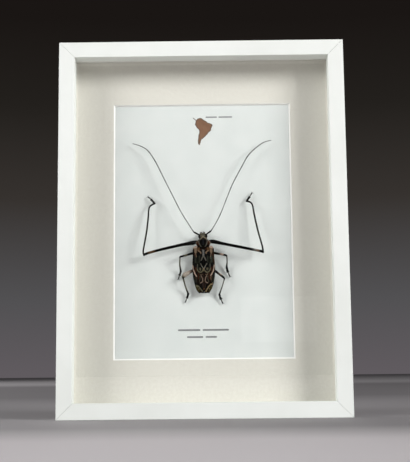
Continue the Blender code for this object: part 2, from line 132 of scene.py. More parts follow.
# Sizes of grain and depths of relief are in metres
lacquer = {
    "colour": (238, 241, 237), "shade": (229, 232, 227), "roughness": (0.4, 0.52), "gloss": 0.35,
    "cloud": 0.09, "smear": 0.02, "peel": 0.0022, "dust": 0.0004, "depth": 0.000035,
}
clearGlass = {"transmission": 1.0, "roughness": 0.0, "ior": 1.5}
boards = {
    "mat": ((228, 227, 217), (219, 217, 206)), "core": (247, 247, 243),
    "spacer": ((246, 246, 242), (238, 238, 233)),
    "fibre": 0.0006, "pulp": 0.0035, "depth": 0.00006, "roughness": (0.78, 0.92),
}
hardboard = {
    "light": (150, 112, 74), "dark": (104, 72, 44), "fibre": 0.0009, "depth": 0.0001,
    "along": (1, 1, 0.35), "crossed": (0.3, 1, 1), "roughness": (0.6, 0.85),
}
zinc = {
    "light": (190, 192, 192), "dark": (150, 153, 155), "spangle": 0.004,
    "scuff": 0.0008, "depth": 0.00004, "roughness": (0.25, 0.5),
}
glueLook = {
    "colour": (214, 196, 150), "cloud": (190, 168, 118), "lump": 0.002, "depth": 0.0002,
    "roughness": (0.15, 0.35), "glow": 0.2, "glowReach": (0.002, 0.0015, 0.001),
}


def lacquerFinish():
    made, tree, shader = newFinish("satinLacquer")
    where = place(tree)
    cloud = grain(tree, where, lacquer["cloud"], 3)
    tree.links.new(blendColours(tree, between(tree, cloud, 0, 1), opaque(lacquer["shade"]),
                                opaque(lacquer["colour"])), shader.inputs["Base Color"])
    smear = grain(tree, where, lacquer["smear"], 5)
    tree.links.new(between(tree, smear, *lacquer["roughness"]), shader.inputs["Roughness"])
    peel = grain(tree, where, lacquer["peel"], 2)
    dust = grain(tree, where, lacquer["dust"], 2)
    surface = put(tree, "Math", {0: peel, 1: between(tree, dust, 0, 0.25)}, operation="ADD").outputs[0]
    tree.links.new(dent(tree, surface, 0.35, lacquer["depth"]), shader.inputs["Normal"])
    shader.inputs["Specular IOR Level"].default_value = lacquer["gloss"]
    return made


def glassFinish():
    made, tree, shader = newFinish("clearGlass")
    shader.inputs["Base Color"].default_value = (1, 1, 1, 1)
    shader.inputs["Roughness"].default_value = clearGlass["roughness"]
    shader.inputs["Transmission Weight"].default_value = clearGlass["transmission"]
    shader.inputs["IOR"].default_value = clearGlass["ior"]
    return made


def boardFinish(name, light, dark, core=None):
    made, tree, shader = newFinish(name)
    where = place(tree)
    fibres = grain(tree, where, boards["fibre"], 8, 0.7)
    pulp = grain(tree, where, boards["pulp"], 5, 0.6)
    face = blendColours(tree, mottle(tree, fibres, pulp), opaque(dark), opaque(light))
    if core:  # the window's edge, cut at 45 degrees, shows the white middle of the board
        facing = put(tree, "SeparateXYZ", {0: put(tree, "NewGeometry", {}).outputs["Normal"]}).outputs["Y"]
        flat = put(tree, "Math", {0: facing}, operation="ABSOLUTE").outputs[0]
        off = put(tree, "Math", {0: flat, 1: math.cos(math.pi / 4)}, operation="SUBTRACT").outputs[0]
        cut = put(tree, "Math", {0: off}, operation="ABSOLUTE").outputs[0]
        face = blendColours(tree, between(tree, cut, 1, 0, 0.1, 0.2), face, opaque(core))
    tree.links.new(face, shader.inputs["Base Color"])
    tree.links.new(between(tree, pulp, *boards["roughness"]), shader.inputs["Roughness"])
    tree.links.new(dent(tree, fibres, 0.5, boards["depth"]), shader.inputs["Normal"])
    return made


def hardboardFinish():
    made, tree, shader = newFinish("brownHardboard")
    strands = grain(tree, place(tree, hardboard["along"]), hardboard["fibre"], 9, 0.75)
    crossed = grain(tree, place(tree, hardboard["crossed"]), hardboard["fibre"] * 2, 6, 0.7)
    tree.links.new(blendColours(tree, mottle(tree, strands, crossed, 0.14), opaque(hardboard["dark"]),
                                opaque(hardboard["light"])), shader.inputs["Base Color"])
    tree.links.new(between(tree, strands, *hardboard["roughness"]), shader.inputs["Roughness"])
    tree.links.new(dent(tree, strands, 0.6, hardboard["depth"]), shader.inputs["Normal"])
    return made


def zincFinish():
    made, tree, shader = newFinish("zincSteel")
    where = place(tree)
    spangle = put(tree, "TexVoronoi", {"Vector": where, "Scale": 1 / zinc["spangle"]}, feature="F1")
    shade = put(tree, "SeparateColor", {0: spangle.outputs["Color"]}).outputs[0]
    tree.links.new(blendColours(tree, shade, opaque(zinc["dark"]), opaque(zinc["light"])),
                   shader.inputs["Base Color"])
    scuffs = grain(tree, place(tree, (1, 1, 0.1)), zinc["scuff"], 5)  # drawn out along the height
    tree.links.new(between(tree, scuffs, *zinc["roughness"]), shader.inputs["Roughness"])
    tree.links.new(dent(tree, scuffs, 0.3, zinc["depth"]), shader.inputs["Normal"])
    shader.inputs["Metallic"].default_value = 1.0
    return made


def glueFinish():
    made, tree, shader = newFinish("driedGlue")
    cloud = grain(tree, place(tree), glueLook["lump"], 4)
    tree.links.new(blendColours(tree, cloud, opaque(glueLook["colour"]), opaque(glueLook["cloud"])),
                   shader.inputs["Base Color"])
    tree.links.new(between(tree, cloud, *glueLook["roughness"]), shader.inputs["Roughness"])
    tree.links.new(dent(tree, cloud, 0.4, glueLook["depth"]), shader.inputs["Normal"])
    shader.inputs["Subsurface Weight"].default_value = glueLook["glow"]
    shader.inputs["Subsurface Radius"].default_value = glueLook["glowReach"]
    return made


def dressFrame():
    white = lacquerFinish()
    for node in ("rail_top", "rail_bottom", "stile_left", "stile_right"):
        dress(node, white)
    dress("glass", glassFinish())
    nodes["glass"].visible_shadow = False  # thin clear glass, so light goes straight through
    nodes["glass"].visible_diffuse = False
    foam = boardFinish("spacerBoard", *boards["spacer"])
    for node in ("spacer_left", "spacer_right", "spacer_top", "spacer_bottom"):
        dress(node, foam)
    dress("mat", boardFinish("matBoard", *boards["mat"], core=boards["core"]))
    dress("backing_board", hardboardFinish())
    steel = zincFinish()
    for node in sorted(nodes):
        if node.startswith("retaining_tab") or node == "sawtooth_hanger":
            dress(node, steel)
    dress("glue_dab", glueFinish())


dressFrame()
print("frame, boards and fastenings dressed")


# The card's print, in millimetres from the middle of the frame
cardPrint = {
    "paper": ((226, 231, 227), (219, 225, 221)), "greyInk": ((128, 131, 131), (120, 123, 123)),
    "mapInk": ((130, 94, 68), (112, 80, 58)), "mapRim": (88, 76, 66), "rimWidth": 1.6,
    "tooth": 0.0005, "cloud": 0.02, "toothDepth": 0.00004, "inkGrain": 0.0007, "inkDepth": 0.00003,
    "longestEdge": 1.2, "cutRounds": 3, "barSteps": 8, "weld": 1e-4,
    # a continent in outline, its tail pointing down
    "map": ((-6.6, 127.9), (-5.2, 129.4), (-3.1, 130.3), (-1.4, 130.4), (0.3, 129.7), (1.3, 128.7),
            (3.2, 127.4), (5.3, 126.2), (6.4, 124.8), (8.9, 124.1), (11.4, 123.0), (12.3, 121.6),
            (11.6, 120.0), (10.7, 118.3), (10.5, 116.9), (10.3, 115.6), (9.4, 114.4), (8.0, 113.7),
            (6.9, 112.5), (6.3, 110.9), (4.5, 109.8), (3.9, 108.4), (1.9, 107.0), (1.3, 106.2),
            (-0.8, 105.1), (-1.0, 103.9), (-1.8, 102.3), (-1.7, 101.0), (-2.6, 99.9), (-2.1, 98.7),
            (-3.2, 98.4), (-4.1, 99.2), (-4.9, 100.6), (-4.7, 102.6), (-4.9, 104.2), (-4.3, 107.0),
            (-4.2, 109.8), (-3.4, 112.2), (-3.1, 114.0), (-3.4, 116.0), (-4.3, 117.2), (-5.8, 118.6),
            (-6.8, 120.2), (-7.6, 121.6), (-8.1, 123.0), (-7.6, 124.4), (-7.3, 126.0), (-7.2, 127.2),
            (-8.0, 128.3), (-8.9, 128.7), (-9.4, 129.3), (-10.4, 129.9), (-10.6, 130.6), (-9.6, 130.7),
            (-8.7, 129.8), (-7.9, 129.0)),
    # printed bars with round ends: left, right, middle and height
    "bars": ((4.2, 17.4, 131.2, 1.5), (19.0, 34.9, 131.2, 1.5),
             (-29.2, -4.2, -113.4, 2.0), (-1.6, 27.9, -113.4, 2.0),
             (-19.2, -1.0, -121.2, 2.0), (1.6, 14.4, -121.2, 2.0)),
}


def paperFinish():
    made, tree, shader = newFinish("coolPaper")
    where = place(tree)
    light, dark = cardPrint["paper"]
    tooth = grain(tree, where, cardPrint["tooth"], 6, 0.7)
    cloud = grain(tree, where, cardPrint["cloud"], 4)
    tree.links.new(blendColours(tree, mottle(tree, tooth, cloud), opaque(dark), opaque(light)),
                   shader.inputs["Base Color"])
    tree.links.new(between(tree, cloud, 0.55, 0.7), shader.inputs["Roughness"])
    tree.links.new(dent(tree, tooth, 0.35, cardPrint["toothDepth"]), shader.inputs["Normal"])
    return made


def inkFinish(name, light, dark, rim=None):
    made, tree, shader = newFinish(name)
    where = place(tree)
    screen = grain(tree, where, cardPrint["inkGrain"], 3, 0.6)
    cloud = grain(tree, where, cardPrint["cloud"] / 4, 3)
    ink = blendColours(tree, mottle(tree, screen, cloud, end=0.36), opaque(dark), opaque(light))
    if rim:
        inside = put(tree, "Attribute", {}, attribute_name="fromEdge").outputs["Fac"]
        ink = blendColours(tree, between(tree, inside, 0, 1, 0.0, 1.0), opaque(rim), ink)
    tree.links.new(ink, shader.inputs["Base Color"])
    tree.links.new(between(tree, screen, 0.45, 0.6), shader.inputs["Roughness"])
    tree.links.new(dent(tree, screen, 0.2, cardPrint["inkDepth"]), shader.inputs["Normal"])
    return made


def barOutline(left, right, middle, height):
    radius = height / 2
    steps = cardPrint["barSteps"]
    outline = []
    for centre, start in ((right - radius, -90), (left + radius, 90)):
        for step in range(steps + 1):
            turn = math.radians(start + step * 180 / steps)
            outline.append((centre + radius * math.cos(turn), middle + radius * math.sin(turn)))
    return outline


def filled(outlines):  # a flat mesh between outlines in millimetres, facing -Y
    curve = bpy.data.curves.new("outline", "CURVE")
    curve.dimensions = "2D"
    curve.fill_mode = "FRONT"
    for outline in outlines:
        spline = curve.splines.new("POLY")
        spline.points.add(len(outline) - 1)
        for point, (x, z) in zip(spline.points, outline):
            point.co = (x, z, 0.0, 1.0)
        spline.use_cyclic_u = True
    guide = bpy.data.objects.new("outline", curve)
    bpy.context.scene.collection.objects.link(guide)
    graph = bpy.context.evaluated_depsgraph_get()
    mesh = bpy.data.meshes.new_from_object(guide.evaluated_get(graph), depsgraph=graph)
    bpy.data.objects.remove(guide, do_unlink=True)
    return mesh


def distanceToPath(x, z, path, closed=False):
    path = np.array(path, float)
    ends = np.roll(path, -1, axis=0) if closed else path[1:]
    starts = path if closed else path[:-1]
    nearest = np.full(np.shape(x), 1e9)
    for (x1, z1), (x2, z2) in zip(starts, ends):
        dx, dz = x2 - x1, z2 - z1
        t = np.clip(((x - x1) * dx + (z - z1) * dz) / max(dx * dx + dz * dz, 1e-9), 0, 1)
        nearest = np.minimum(nearest, np.hypot(x - x1 - t * dx, z - z1 - t * dz))
    return nearest


def buildCard():
    lo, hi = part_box("card")
    half, tall = (hi.x - lo.x) / 2 * perMetre, (hi.z - lo.z) / 2 * perMetre
    sheet = [(-half, -tall), (half, -tall), (half, tall), (-half, tall)]
    bars = [barOutline(*bar) for bar in cardPrint["bars"]]
    mapLine = list(cardPrint["map"])
    bm = bmesh.new()
    for outlines, finish in (([sheet, mapLine, *bars], 0), ([mapLine], 1), (bars, 2)):
        before = len(bm.faces)
        bm.from_mesh(filled(outlines))
        bm.faces.ensure_lookup_table()
        for face in bm.faces[before:]:
            face.material_index = finish
    bmesh.ops.remove_doubles(bm, verts=bm.verts, dist=cardPrint["weld"])
    for _ in range(cardPrint["cutRounds"]):  # finer inside the silhouette, so that its rim can darken
        edges = list({edge for face in bm.faces if face.material_index == 1 for edge in face.edges
                      if edge.calc_length() > cardPrint["longestEdge"]})
        if edges:
            bmesh.ops.subdivide_edges(bm, edges=edges, cuts=1, use_grid_fill=False)
            bmesh.ops.triangulate(bm, faces=[face for face in bm.faces if face.material_index == 1])
    for vert in bm.verts:
        vert.co = Vector((vert.co.x / perMetre, cardFront, middleHeight + vert.co.y / perMetre))
    front = list(bm.faces)
    rim = [edge for edge in bm.edges if edge.is_boundary]
    walls = bmesh.ops.extrude_edge_only(bm, edges=rim)["geom"]
    behind = [part for part in walls if isinstance(part, bmesh.types.BMVert)]
    for vert in behind:
        vert.co.y = cardBack
    back = [part for part in walls
            if isinstance(part, bmesh.types.BMEdge) and all(vert in behind for vert in part.verts)]
    bmesh.ops.contextual_create(bm, geom=back)
    for face in bm.faces:
        if face not in front:
            face.material_index = 0
    bmesh.ops.recalc_face_normals(bm, faces=bm.faces)
    mesh = bpy.data.meshes.new("printedCard")
    bm.to_mesh(mesh)
    bm.free()
    points = np.array([(v.co.x * perMetre, (v.co.z - middleHeight) * perMetre) for v in mesh.vertices])
    inside = distanceToPath(points[:, 0], points[:, 1], mapLine, True) / cardPrint["rimWidth"]
    inside = np.clip(inside, 0, 1)
    mesh.attributes.new("fromEdge", "FLOAT", "POINT").data.foreach_set("value", inside)
    mesh.materials.append(paperFinish())
    mesh.materials.append(inkFinish("brownInk", *cardPrint["mapInk"], rim=cardPrint["mapRim"]))
    mesh.materials.append(inkFinish("greyInk", *cardPrint["greyInk"]))
    card = bpy.data.objects.new("printedCard", mesh)
    bpy.context.scene.collection.objects.link(card)
    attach(card, "root")
    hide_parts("card")


buildCard()
print("card printed")


# How far the beetle and its head lie turned on the card, and the point they turn about
bodyTurn = {"lean": math.radians(0.7), "head": math.radians(4.1), "pivot": (0.0, -12.0)}


def onCard(points):  # rows of x, z, h in millimetres become places in the frame
    points = np.asarray(points, float)
    return np.stack((points[..., 0] / perMetre, cardFront - points[..., 2] / perMetre,
                     middleHeight + points[..., 1] / perMetre), axis=-1)


def leaned(x, z, h, angle=bodyTurn["lean"]):
    px, pz = bodyTurn["pivot"]
    return np.stack((px + (x - px) * math.cos(angle) - (z - pz) * math.sin(angle),
                     pz + (x - px) * math.sin(angle) + (z - pz) * math.cos(angle), h), axis=-1)


def rowsAt(rows, places):  # smooth lines through rows of place, value, value, ...
    table = np.array(rows, float)
    keys = table[:, 0]
    shape = np.shape(places)
    places = np.clip(np.ravel(places), keys[-1], keys[0])
    index = np.clip(np.searchsorted(-keys, -places, side="right") - 1, 0, len(keys) - 2)
    start, end = table[index], table[index + 1]
    before, after = table[np.maximum(index - 1, 0)], table[np.minimum(index + 2, len(keys) - 1)]
    span = end[:, :1] - start[:, :1]
    t = (places[:, None] - start[:, :1]) / span
    slopeIn = (end - before) / (end[:, :1] - before[:, :1]) * span
    slopeOut = (after - start) / (after[:, :1] - start[:, :1]) * span
    found = (start * (2 * t**3 - 3 * t**2 + 1) + slopeIn * (t**3 - 2 * t**2 + t)
             + end * (3 * t**2 - 2 * t**3) + slopeOut * (t**3 - t**2))
    return [column.reshape(shape) for column in found[:, 1:].T]


def section(theta, halfWidth, top, bottom, squareness, waist):  # a squarish oval across the body
    power = 2 / squareness
    middle = bottom + (top - bottom) * waist
    rise = np.where(np.sin(theta) > 0, top - middle, middle - bottom)
    across = np.sign(np.cos(theta)) * np.abs(np.cos(theta)) ** power * halfWidth
    return across, middle + np.sign(np.sin(theta)) * np.abs(np.sin(theta)) ** power * rise


def ripple(x, y, size, seed, waves=9):  # smooth wavy noise, about -1 to 1
    chance = np.random.default_rng(seed)
    total = 0
    for _ in range(waves):
        turn, phase = chance.uniform(0, 2 * math.pi, 2)
        rate = 2 * math.pi / (size * chance.uniform(0.7, 1.6))
        total = total + np.sin((x * math.cos(turn) + y * math.sin(turn)) * rate + phase)
    return total / (waves / 2)


def hump(distance, radius):  # 1 in the middle, smoothly down to 0 at the radius
    t = np.clip(1 - distance / radius, 0, 1)
    return t * t * (3 - 2 * t)


def roundedEnd(distance, radius):  # how full a ring is, this far from the end of its form
    t = np.clip(distance / radius, 0, 1)
    return np.sqrt(np.clip(1 - (1 - t) ** 2, 0, 1))


def skin(rings, colours):  # a closed form from rings of points, its ends drawn together
    count, around = rings.shape[:2]
    index = np.arange(count * around).reshape(count, around)
    nextOne = np.roll(index, -1, axis=1)
    faces = np.stack((index[:-1], index[1:], nextOne[1:], nextOne[:-1]), axis=-1).reshape(-1, 4).tolist()
    points = np.concatenate((rings.reshape(-1, 3), rings[0].mean(0)[None], rings[-1].mean(0)[None]))
    tints = np.concatenate((colours.reshape(-1, 3), colours[0].mean(0)[None], colours[-1].mean(0)[None]))
    first, last = count * around, count * around + 1
    faces += [(int(i), int(j), first) for i, j in zip(index[0], nextOne[0])]
    faces += [(int(j), int(i), last) for i, j in zip(index[-1], nextOne[-1])]
    return points, faces, tints


def makePiece(name, forms, material):  # joins closed forms into one piece of the beetle
    points, faces, tints, start = [], [], [], 0
    for formPoints, formFaces, formTints in forms:
        points.append(onCard(formPoints))
        tints.append(formTints)
        faces += [[corner + start for corner in face] for face in formFaces]
        start += len(formPoints)
    mesh = bpy.data.meshes.new(name)
    mesh.from_pydata(np.concatenate(points).tolist(), [], faces)
    tone = mesh.attributes.new("pigment", "FLOAT_COLOR", "POINT")
    colours = np.ones((start, 4))
    colours[:, :3] = np.concatenate(tints)
    tone.data.foreach_set("color", colours.ravel())
    bm = bmesh.new()
    bm.from_mesh(mesh)
    bmesh.ops.recalc_face_normals(bm, faces=bm.faces)
    bm.to_mesh(mesh)
    bm.free()
    mesh.shade_smooth()
    mesh.materials.append(material)
    piece = bpy.data.objects.new(name, mesh)
    bpy.context.scene.collection.objects.link(piece)
    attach(piece, "root")
    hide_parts("beetle")


pigments = {
    "black": paint(6, 6, 5), "soot": paint(20, 19, 16), "darkBrown": paint(17, 11, 6),
    "bark": paint(38, 25, 15), "rust": paint(50, 27, 15), "orangeBrown": paint(76, 54, 34),
    "tan": paint(108, 91, 74), "fawn": paint(112, 96, 84), "pink": paint(160, 141, 126),
    "straw": paint(122, 106, 78), "sand": paint(122, 114, 96), "olive": paint(64, 56, 30),
    "moss": paint(80, 77, 63), "mossDeep": paint(42, 39, 27), "mossDark": paint(23, 25, 18),
    "lichen": paint(90, 86, 68), "greyGreen": paint(50, 51, 44), "slate": paint(30, 32, 36),
    "grey": paint(84, 82, 74), "paleGrey": paint(104, 101, 92), "blueGrey": paint(96, 95, 91),
    "violet": paint(60, 50, 49), "boneGrey": paint(104, 103, 98), "antennaGrey": paint(96, 98, 94),
    "ash": paint(150, 141, 129),
}
# The down is very short hair; fur and cloud are the sizes of its grain in metres
chitin = {
    "wingCaseDown": {"roughness": (0.45, 0.62), "fur": 0.00018, "sheen": 0.0, "gloss": 0.02},
    "limbChitin": {"roughness": (0.35, 0.55), "fur": 0.00022, "sheen": 0.0, "gloss": 0.05},
    "bellyDown": {"roughness": (0.5, 0.7), "fur": 0.0002, "sheen": 0.03, "gloss": 0.15},
    "cloud": 0.0012, "depth": 0.00006, "sheenRoughness": 0.4,
}
eyeLook = {
    "light": (22, 17, 14), "dark": (8, 7, 7), "facetsPerMetre": 6500.0, "facetDepth": 0.00003,
    "cloud": 0.0008, "roughness": (0.12, 0.25), "coat": 0.4,
}


def chitinFinish(name):  # painted pigment under very short down
    look = chitin[name]
    made, tree, shader = newFinish(name)
    where = place(tree)
    pigment = put(tree, "Attribute", {}, attribute_name="pigment").outputs["Color"]
    down = grain(tree, where, look["fur"], 4, 0.7)
    wide = grain(tree, where, chitin["cloud"], 4, 0.6)
    speck = put(tree, "Math", {0: between(tree, down, 0.72, 1.3), 1: between(tree, wide, 0.88, 1.12)},
                operation="MULTIPLY").outputs[0]
    speckled = put(tree, "CombineColor", {0: speck, 1: speck, 2: speck}).outputs[0]
    tree.links.new(blendColours(tree, 1.0, pigment, speckled, "MULTIPLY"), shader.inputs["Base Color"])
    tree.links.new(between(tree, wide, *look["roughness"]), shader.inputs["Roughness"])
    pits = put(tree, "TexVoronoi", {"Vector": where, "Scale": 1 / (look["fur"] * 2.5)}, feature="SMOOTH_F1")
    height = put(tree, "Math", {0: down, 1: between(tree, pits.outputs["Distance"], 0, 0.6, 0.0, 0.5)},
                 operation="ADD").outputs[0]
    tree.links.new(dent(tree, height, 0.5, chitin["depth"]), shader.inputs["Normal"])
    shader.inputs["Sheen Weight"].default_value = look["sheen"]
    shader.inputs["Sheen Roughness"].default_value = chitin["sheenRoughness"]
    shader.inputs["Specular IOR Level"].default_value = look["gloss"]
    return made


def eyeFinish():
    made, tree, shader = newFinish("eyeFacets")
    where = place(tree)
    facets = put(tree, "TexVoronoi", {"Vector": where, "Scale": eyeLook["facetsPerMetre"]}, feature="F1")
    tree.links.new(blendColours(tree, facets.outputs["Distance"], opaque(eyeLook["light"]),
                                opaque(eyeLook["dark"])), shader.inputs["Base Color"])
    cloud = grain(tree, where, eyeLook["cloud"])
    tree.links.new(between(tree, cloud, *eyeLook["roughness"]), shader.inputs["Roughness"])
    tree.links.new(dent(tree, facets.outputs["Distance"], 0.4, eyeLook["facetDepth"]), shader.inputs["Normal"])
    shader.inputs["Coat Weight"].default_value = eyeLook["coat"]
    return made


shellFinish = chitinFinish("wingCaseDown")
limbFinish = chitinFinish("limbChitin")
bellyFinish = chitinFinish("bellyDown")


def evenTint(shape, name, size=1.5, seed=1, depth=0.15):  # one pigment, slightly cloudy
    base = np.array(pigments[name])
    shade = 1 + depth * ripple(*np.indices(shape[:2]), size * 8, seed)
    return base * shade[..., None]


# Each row along the body is z, half width, top and lowest height
wingCases = {
    "rows": ((-20.4, 10.6, 10.9, 5.2), (-22.0, 11.7, 12.2, 4.9), (-33.0, 12.2, 13.3, 4.6),
             (-45.6, 12.8, 13.3, 4.6), (-54.6, 12.1, 12.6, 4.7), (-63.5, 10.3, 11.0, 4.9),
             (-68.0, 8.5, 9.8, 5.1), (-72.8, 5.8, 8.3, 5.4)),
    "squareness": 2.7, "waist": 0.28, "turnUnder": -38, "thickness": 0.35,
    "sutureGap": 0.03, "sutureGroove": 0.22, "sutureWidth": 0.5,
    "shoulderSpine": (10.6, -22.6, 0.9, 1.5),  # place, z, reach and radius
    "shoulder": (8.4, 3.4, -24.0, 3.6, 1.1),  # place, half width, z, length, how far it stands forward
    "frontRounding": (1.6, 0.65),  # length, and how full the front edge is
    "tailSwell": (-70.0, 8.0),  # z and half length
    "end": (-66.0, 6.8, 0.9),  # where the blunt end starts, its length and how much is cut off
    "endSpines": ((0.5, 1.0, 0.9), (5.2, 1.3, 1.0)),  # place, half width and length
    "rib": (7.4, -0.03, -40.0, 1.2, 24.0, 0.12),  # place, slant, z, half width, half length, height
    "swell": (3.0, 0.05),  # size and height of the low waves
    "granules": 130, "granuleHeight": 0.16, "granuleRadius": 0.34,
    "granulePlaces": (1.5, 10.5, -21.5, 9.5, 1.6),  # nearest, farthest, z, length, crowding to the front
    "wander": ((2.2, 0.16), (2.6, 0.2)),  # size and reach of the waver in the painted edges
    "across": 150, "down": 560, "innerStep": 10,
}

# Strokes on the right wing case, mirrored on the left: width or patch, pigment, softness,
# and points as distance from the suture and z
wingPattern = (
    ("patch", "darkBrown", 2.0, ((1.0, -48.0), (10.0, -50.0), (9.6, -60.0), (6.0, -64.0), (1.0, -66.0))),
    ("patch", "mossDark", 1.2, ((4.0, -31.4), (9.9, -31.0), (10.6, -38.6), (7.4, -40.6), (4.6, -38.8))),
    ("patch", "pink", 0.7, ((6.4, -18.0), (12.0, -18.0), (12.0, -21.9), (10.6, -22.5), (8.0, -22.3),
                            (6.6, -21.3))),
    ("patch", "tan", 0.8, ((7.0, -22.2), (10.4, -22.5), (10.2, -26.6), (8.9, -29.0), (7.4, -27.0))),
    ("patch", "orangeBrown", 0.8, ((4.0, -21.5), (6.9, -21.9), (7.0, -25.0), (5.8, -26.4), (4.2, -25.4))),
    ("patch", "rust", 0.5, ((1.9, -23.2), (3.2, -23.2), (3.3, -24.8), (2.4, -25.0))),
    (1.3, "tan", 0.6, ((5.6, -25.4), (4.3, -26.2), (3.2, -27.0), (2.8, -28.6))),
    (0.7, "tan", 0.5, ((8.8, -28.4), (8.2, -30.4), (7.9, -32.2))),
    ("patch", "black", 0.7, ((4.4, -27.6), (7.3, -27.4), (7.6, -30.2), (6.0, -32.2), (4.8, -30.6))),
    ("patch", "rust", 0.7, ((9.3, -28.8), (10.6, -28.2), (10.4, -31.0), (9.4, -31.6))),
    (2.0, "blueGrey", 0.6, ((0.0, -24.2), (0.0, -31.8))),
    (1.2, "grey", 0.5, ((0.4, -31.6), (1.4, -33.4), (2.6, -36.2))),
    ("patch", "black", 0.6, ((0.0, -33.6), (2.0, -36.8), (3.8, -38.0), (2.6, -39.8), (0.0, -42.6))),
    (0.5, "greyGreen", 0.5, ((4.5, -31.4), (4.4, -35.0), (4.6, -38.6))),
    (0.9, "black", 0.6, ((6.9, -31.0), (6.6, -34.6), (7.2, -38.4))),
    (0.5, "greyGreen", 0.5, ((9.2, -31.2), (9.4, -35.0), (8.6, -39.0))),
    (0.6, "soot", 0.5, ((2.6, -28.8), (3.3, -31.6), (3.7, -35.0))),
    (0.9, "grey", 0.5, ((3.6, -40.0), (2.4, -42.0), (0.9, -44.8))),
    (0.9, "paleGrey", 0.5, ((2.2, -42.4), (0.7, -45.2), (0.0, -46.2))),
    (0.9, "straw", 0.5, ((0.0, -45.4), (0.0, -48.2))),
    (0.6, "grey", 0.5, ((7.0, -40.6), (7.1, -43.4), (7.3, -46.0))),
    (0.8, "mossDark", 0.5, ((5.0, -40.6), (5.8, -43.0), (5.6, -46.0))),
    (1.1, "lichen", 0.5, ((7.3, -45.8), (6.8, -47.6), (5.4, -49.2), (3.2, -49.8), (1.7, -48.6), (0.8, -46.6))),
    (1.4, "lichen", 0.9, ((3.8, -45.2), (3.7, -46.4))),
    (0.5, "moss", 0.4, ((5.2, -44.8), (4.9, -46.8), (3.6, -48.0))),
    ("patch", "rust", 0.9, ((8.0, -42.2), (9.4, -41.6), (10.2, -45.8), (9.0, -49.6), (7.8, -48.0))),
    (1.4, "black", 0.7, ((8.6, -39.6), (8.8, -43.4))),
    (1.0, "rust", 0.9, ((6.6, -50.4), (6.0, -53.0))),
    (1.0, "fawn", 0.5, ((3.1, -53.6), (2.2, -55.2), (1.5, -57.0), (1.5, -59.4), (2.2, -60.8), (4.1, -61.5))),
    (0.4, "tan", 0.4, ((4.6, -51.0), (3.8, -52.4), (1.6, -52.2))),
    (1.3, "bark", 0.6, ((0.0, -51.4), (0.0, -67.0))),
    (1.3, "rust", 0.9, ((5.6, -54.4), (6.4, -57.0))),
    (1.2, "rust", 0.9, ((8.4, -54.6), (8.8, -56.4))),
    (0.5, "greyGreen", 0.5, ((7.5, -54.4), (8.2, -57.4), (8.9, -60.4))),
    (0.4, "moss", 0.4, ((4.4, -53.6), (4.3, -56.8), (5.4, -60.6))),
    (1.4, "mossDark", 0.9, ((10.2, -55.4), (9.8, -60.0))),
    (0.5, "violet", 0.5, ((1.4, -62.4), (1.2, -66.6))),
    ("patch", "olive", 0.8, ((8.6, -64.8), (9.2, -67.0), (7.4, -70.6), (4.8, -71.0), (4.9, -67.8),
                             (6.4, -65.6))),
    ("patch", "black", 0.6, ((6.9, -65.8), (7.4, -68.2), (5.6, -70.2), (4.8, -68.2))),
    (0.9, "straw", 0.6, ((6.1, -67.8), (6.0, -68.3))),
    (1.2, "orangeBrown", 0.8, ((0.3, -67.6), (0.6, -68.8))),
    (1.5, "black", 0.6, ((0.0, -69.4), (0.0, -72.8))),
    (1.0, "bark", 0.7, ((3.2, -70.8), (4.4, -72.4))),
)

# What each wing case has of its own: how much wider the tail is, and more strokes
wingOwn = {
    1: {"tail": 0.1, "strokes": (
        (1.1, "pink", 0.5, ((12.0, -41.6), (11.4, -45.0), (10.9, -47.6), (9.8, -49.8), (8.5, -52.1),
                            (7.6, -53.4))),
        (1.3, "straw", 0.5, ((8.9, -63.0), (7.4, -63.2), (5.6, -65.0), (3.6, -67.8), (1.8, -70.8))),
        (0.8, "tan", 0.5, ((9.6, -61.4), (9.2, -63.6))),
        (0.5, "tan", 0.4, ((8.4, -53.4), (7.4, -55.6), (7.8, -58.4))),
        ("patch", "bark", 1.2, ((10.4, -27.0), (12.6, -27.0), (12.6, -40.0), (10.8, -39.0))),
    )},
    -1: {"tail": 0.7, "strokes": (
        (1.1, "pink", 0.5, ((12.3, -41.4), (11.7, -46.2), (10.6, -49.6), (9.5, -52.0), (8.2, -54.0))),
        (2.2, "lichen", 0.8, ((9.8, -64.6), (7.2, -64.9))),
        (1.2, "moss", 0.6, ((6.4, -64.8), (4.6, -67.4), (3.2, -69.2), (1.9, -70.8))),
        (0.6, "lichen", 0.5, ((7.0, -64.4), (5.0, -66.6), (3.4, -68.6), (2.2, -70.2))),
    )},
}


def brushed(colours, a, z, strokes):
    for kind, pigment, soft, path in strokes:
        path = np.array(path, float)
        if kind == "patch":
            away = distanceToPath(a, z, path, True)
            away = np.where(insidePath(a, z, path), -away, away)
        else:
            away = distanceToPath(a, z, path) - kind / 2
        cover = hump(np.maximum(away + soft / 2, 0), soft)[..., None]
        colours = colours * (1 - cover) + np.array(pigments[pigment]) * cover
    return colours


def insidePath(x, z, path):
    inside = np.zeros(np.shape(x), bool)
    for (x1, z1), (x2, z2) in zip(path, np.roll(path, -1, axis=0)):
        crosses = (z1 > z) != (z2 > z)
        inside ^= crosses & (x < (x2 - x1) * (z - z1) / (z2 - z1 + 1e-12) + x1)
    return inside


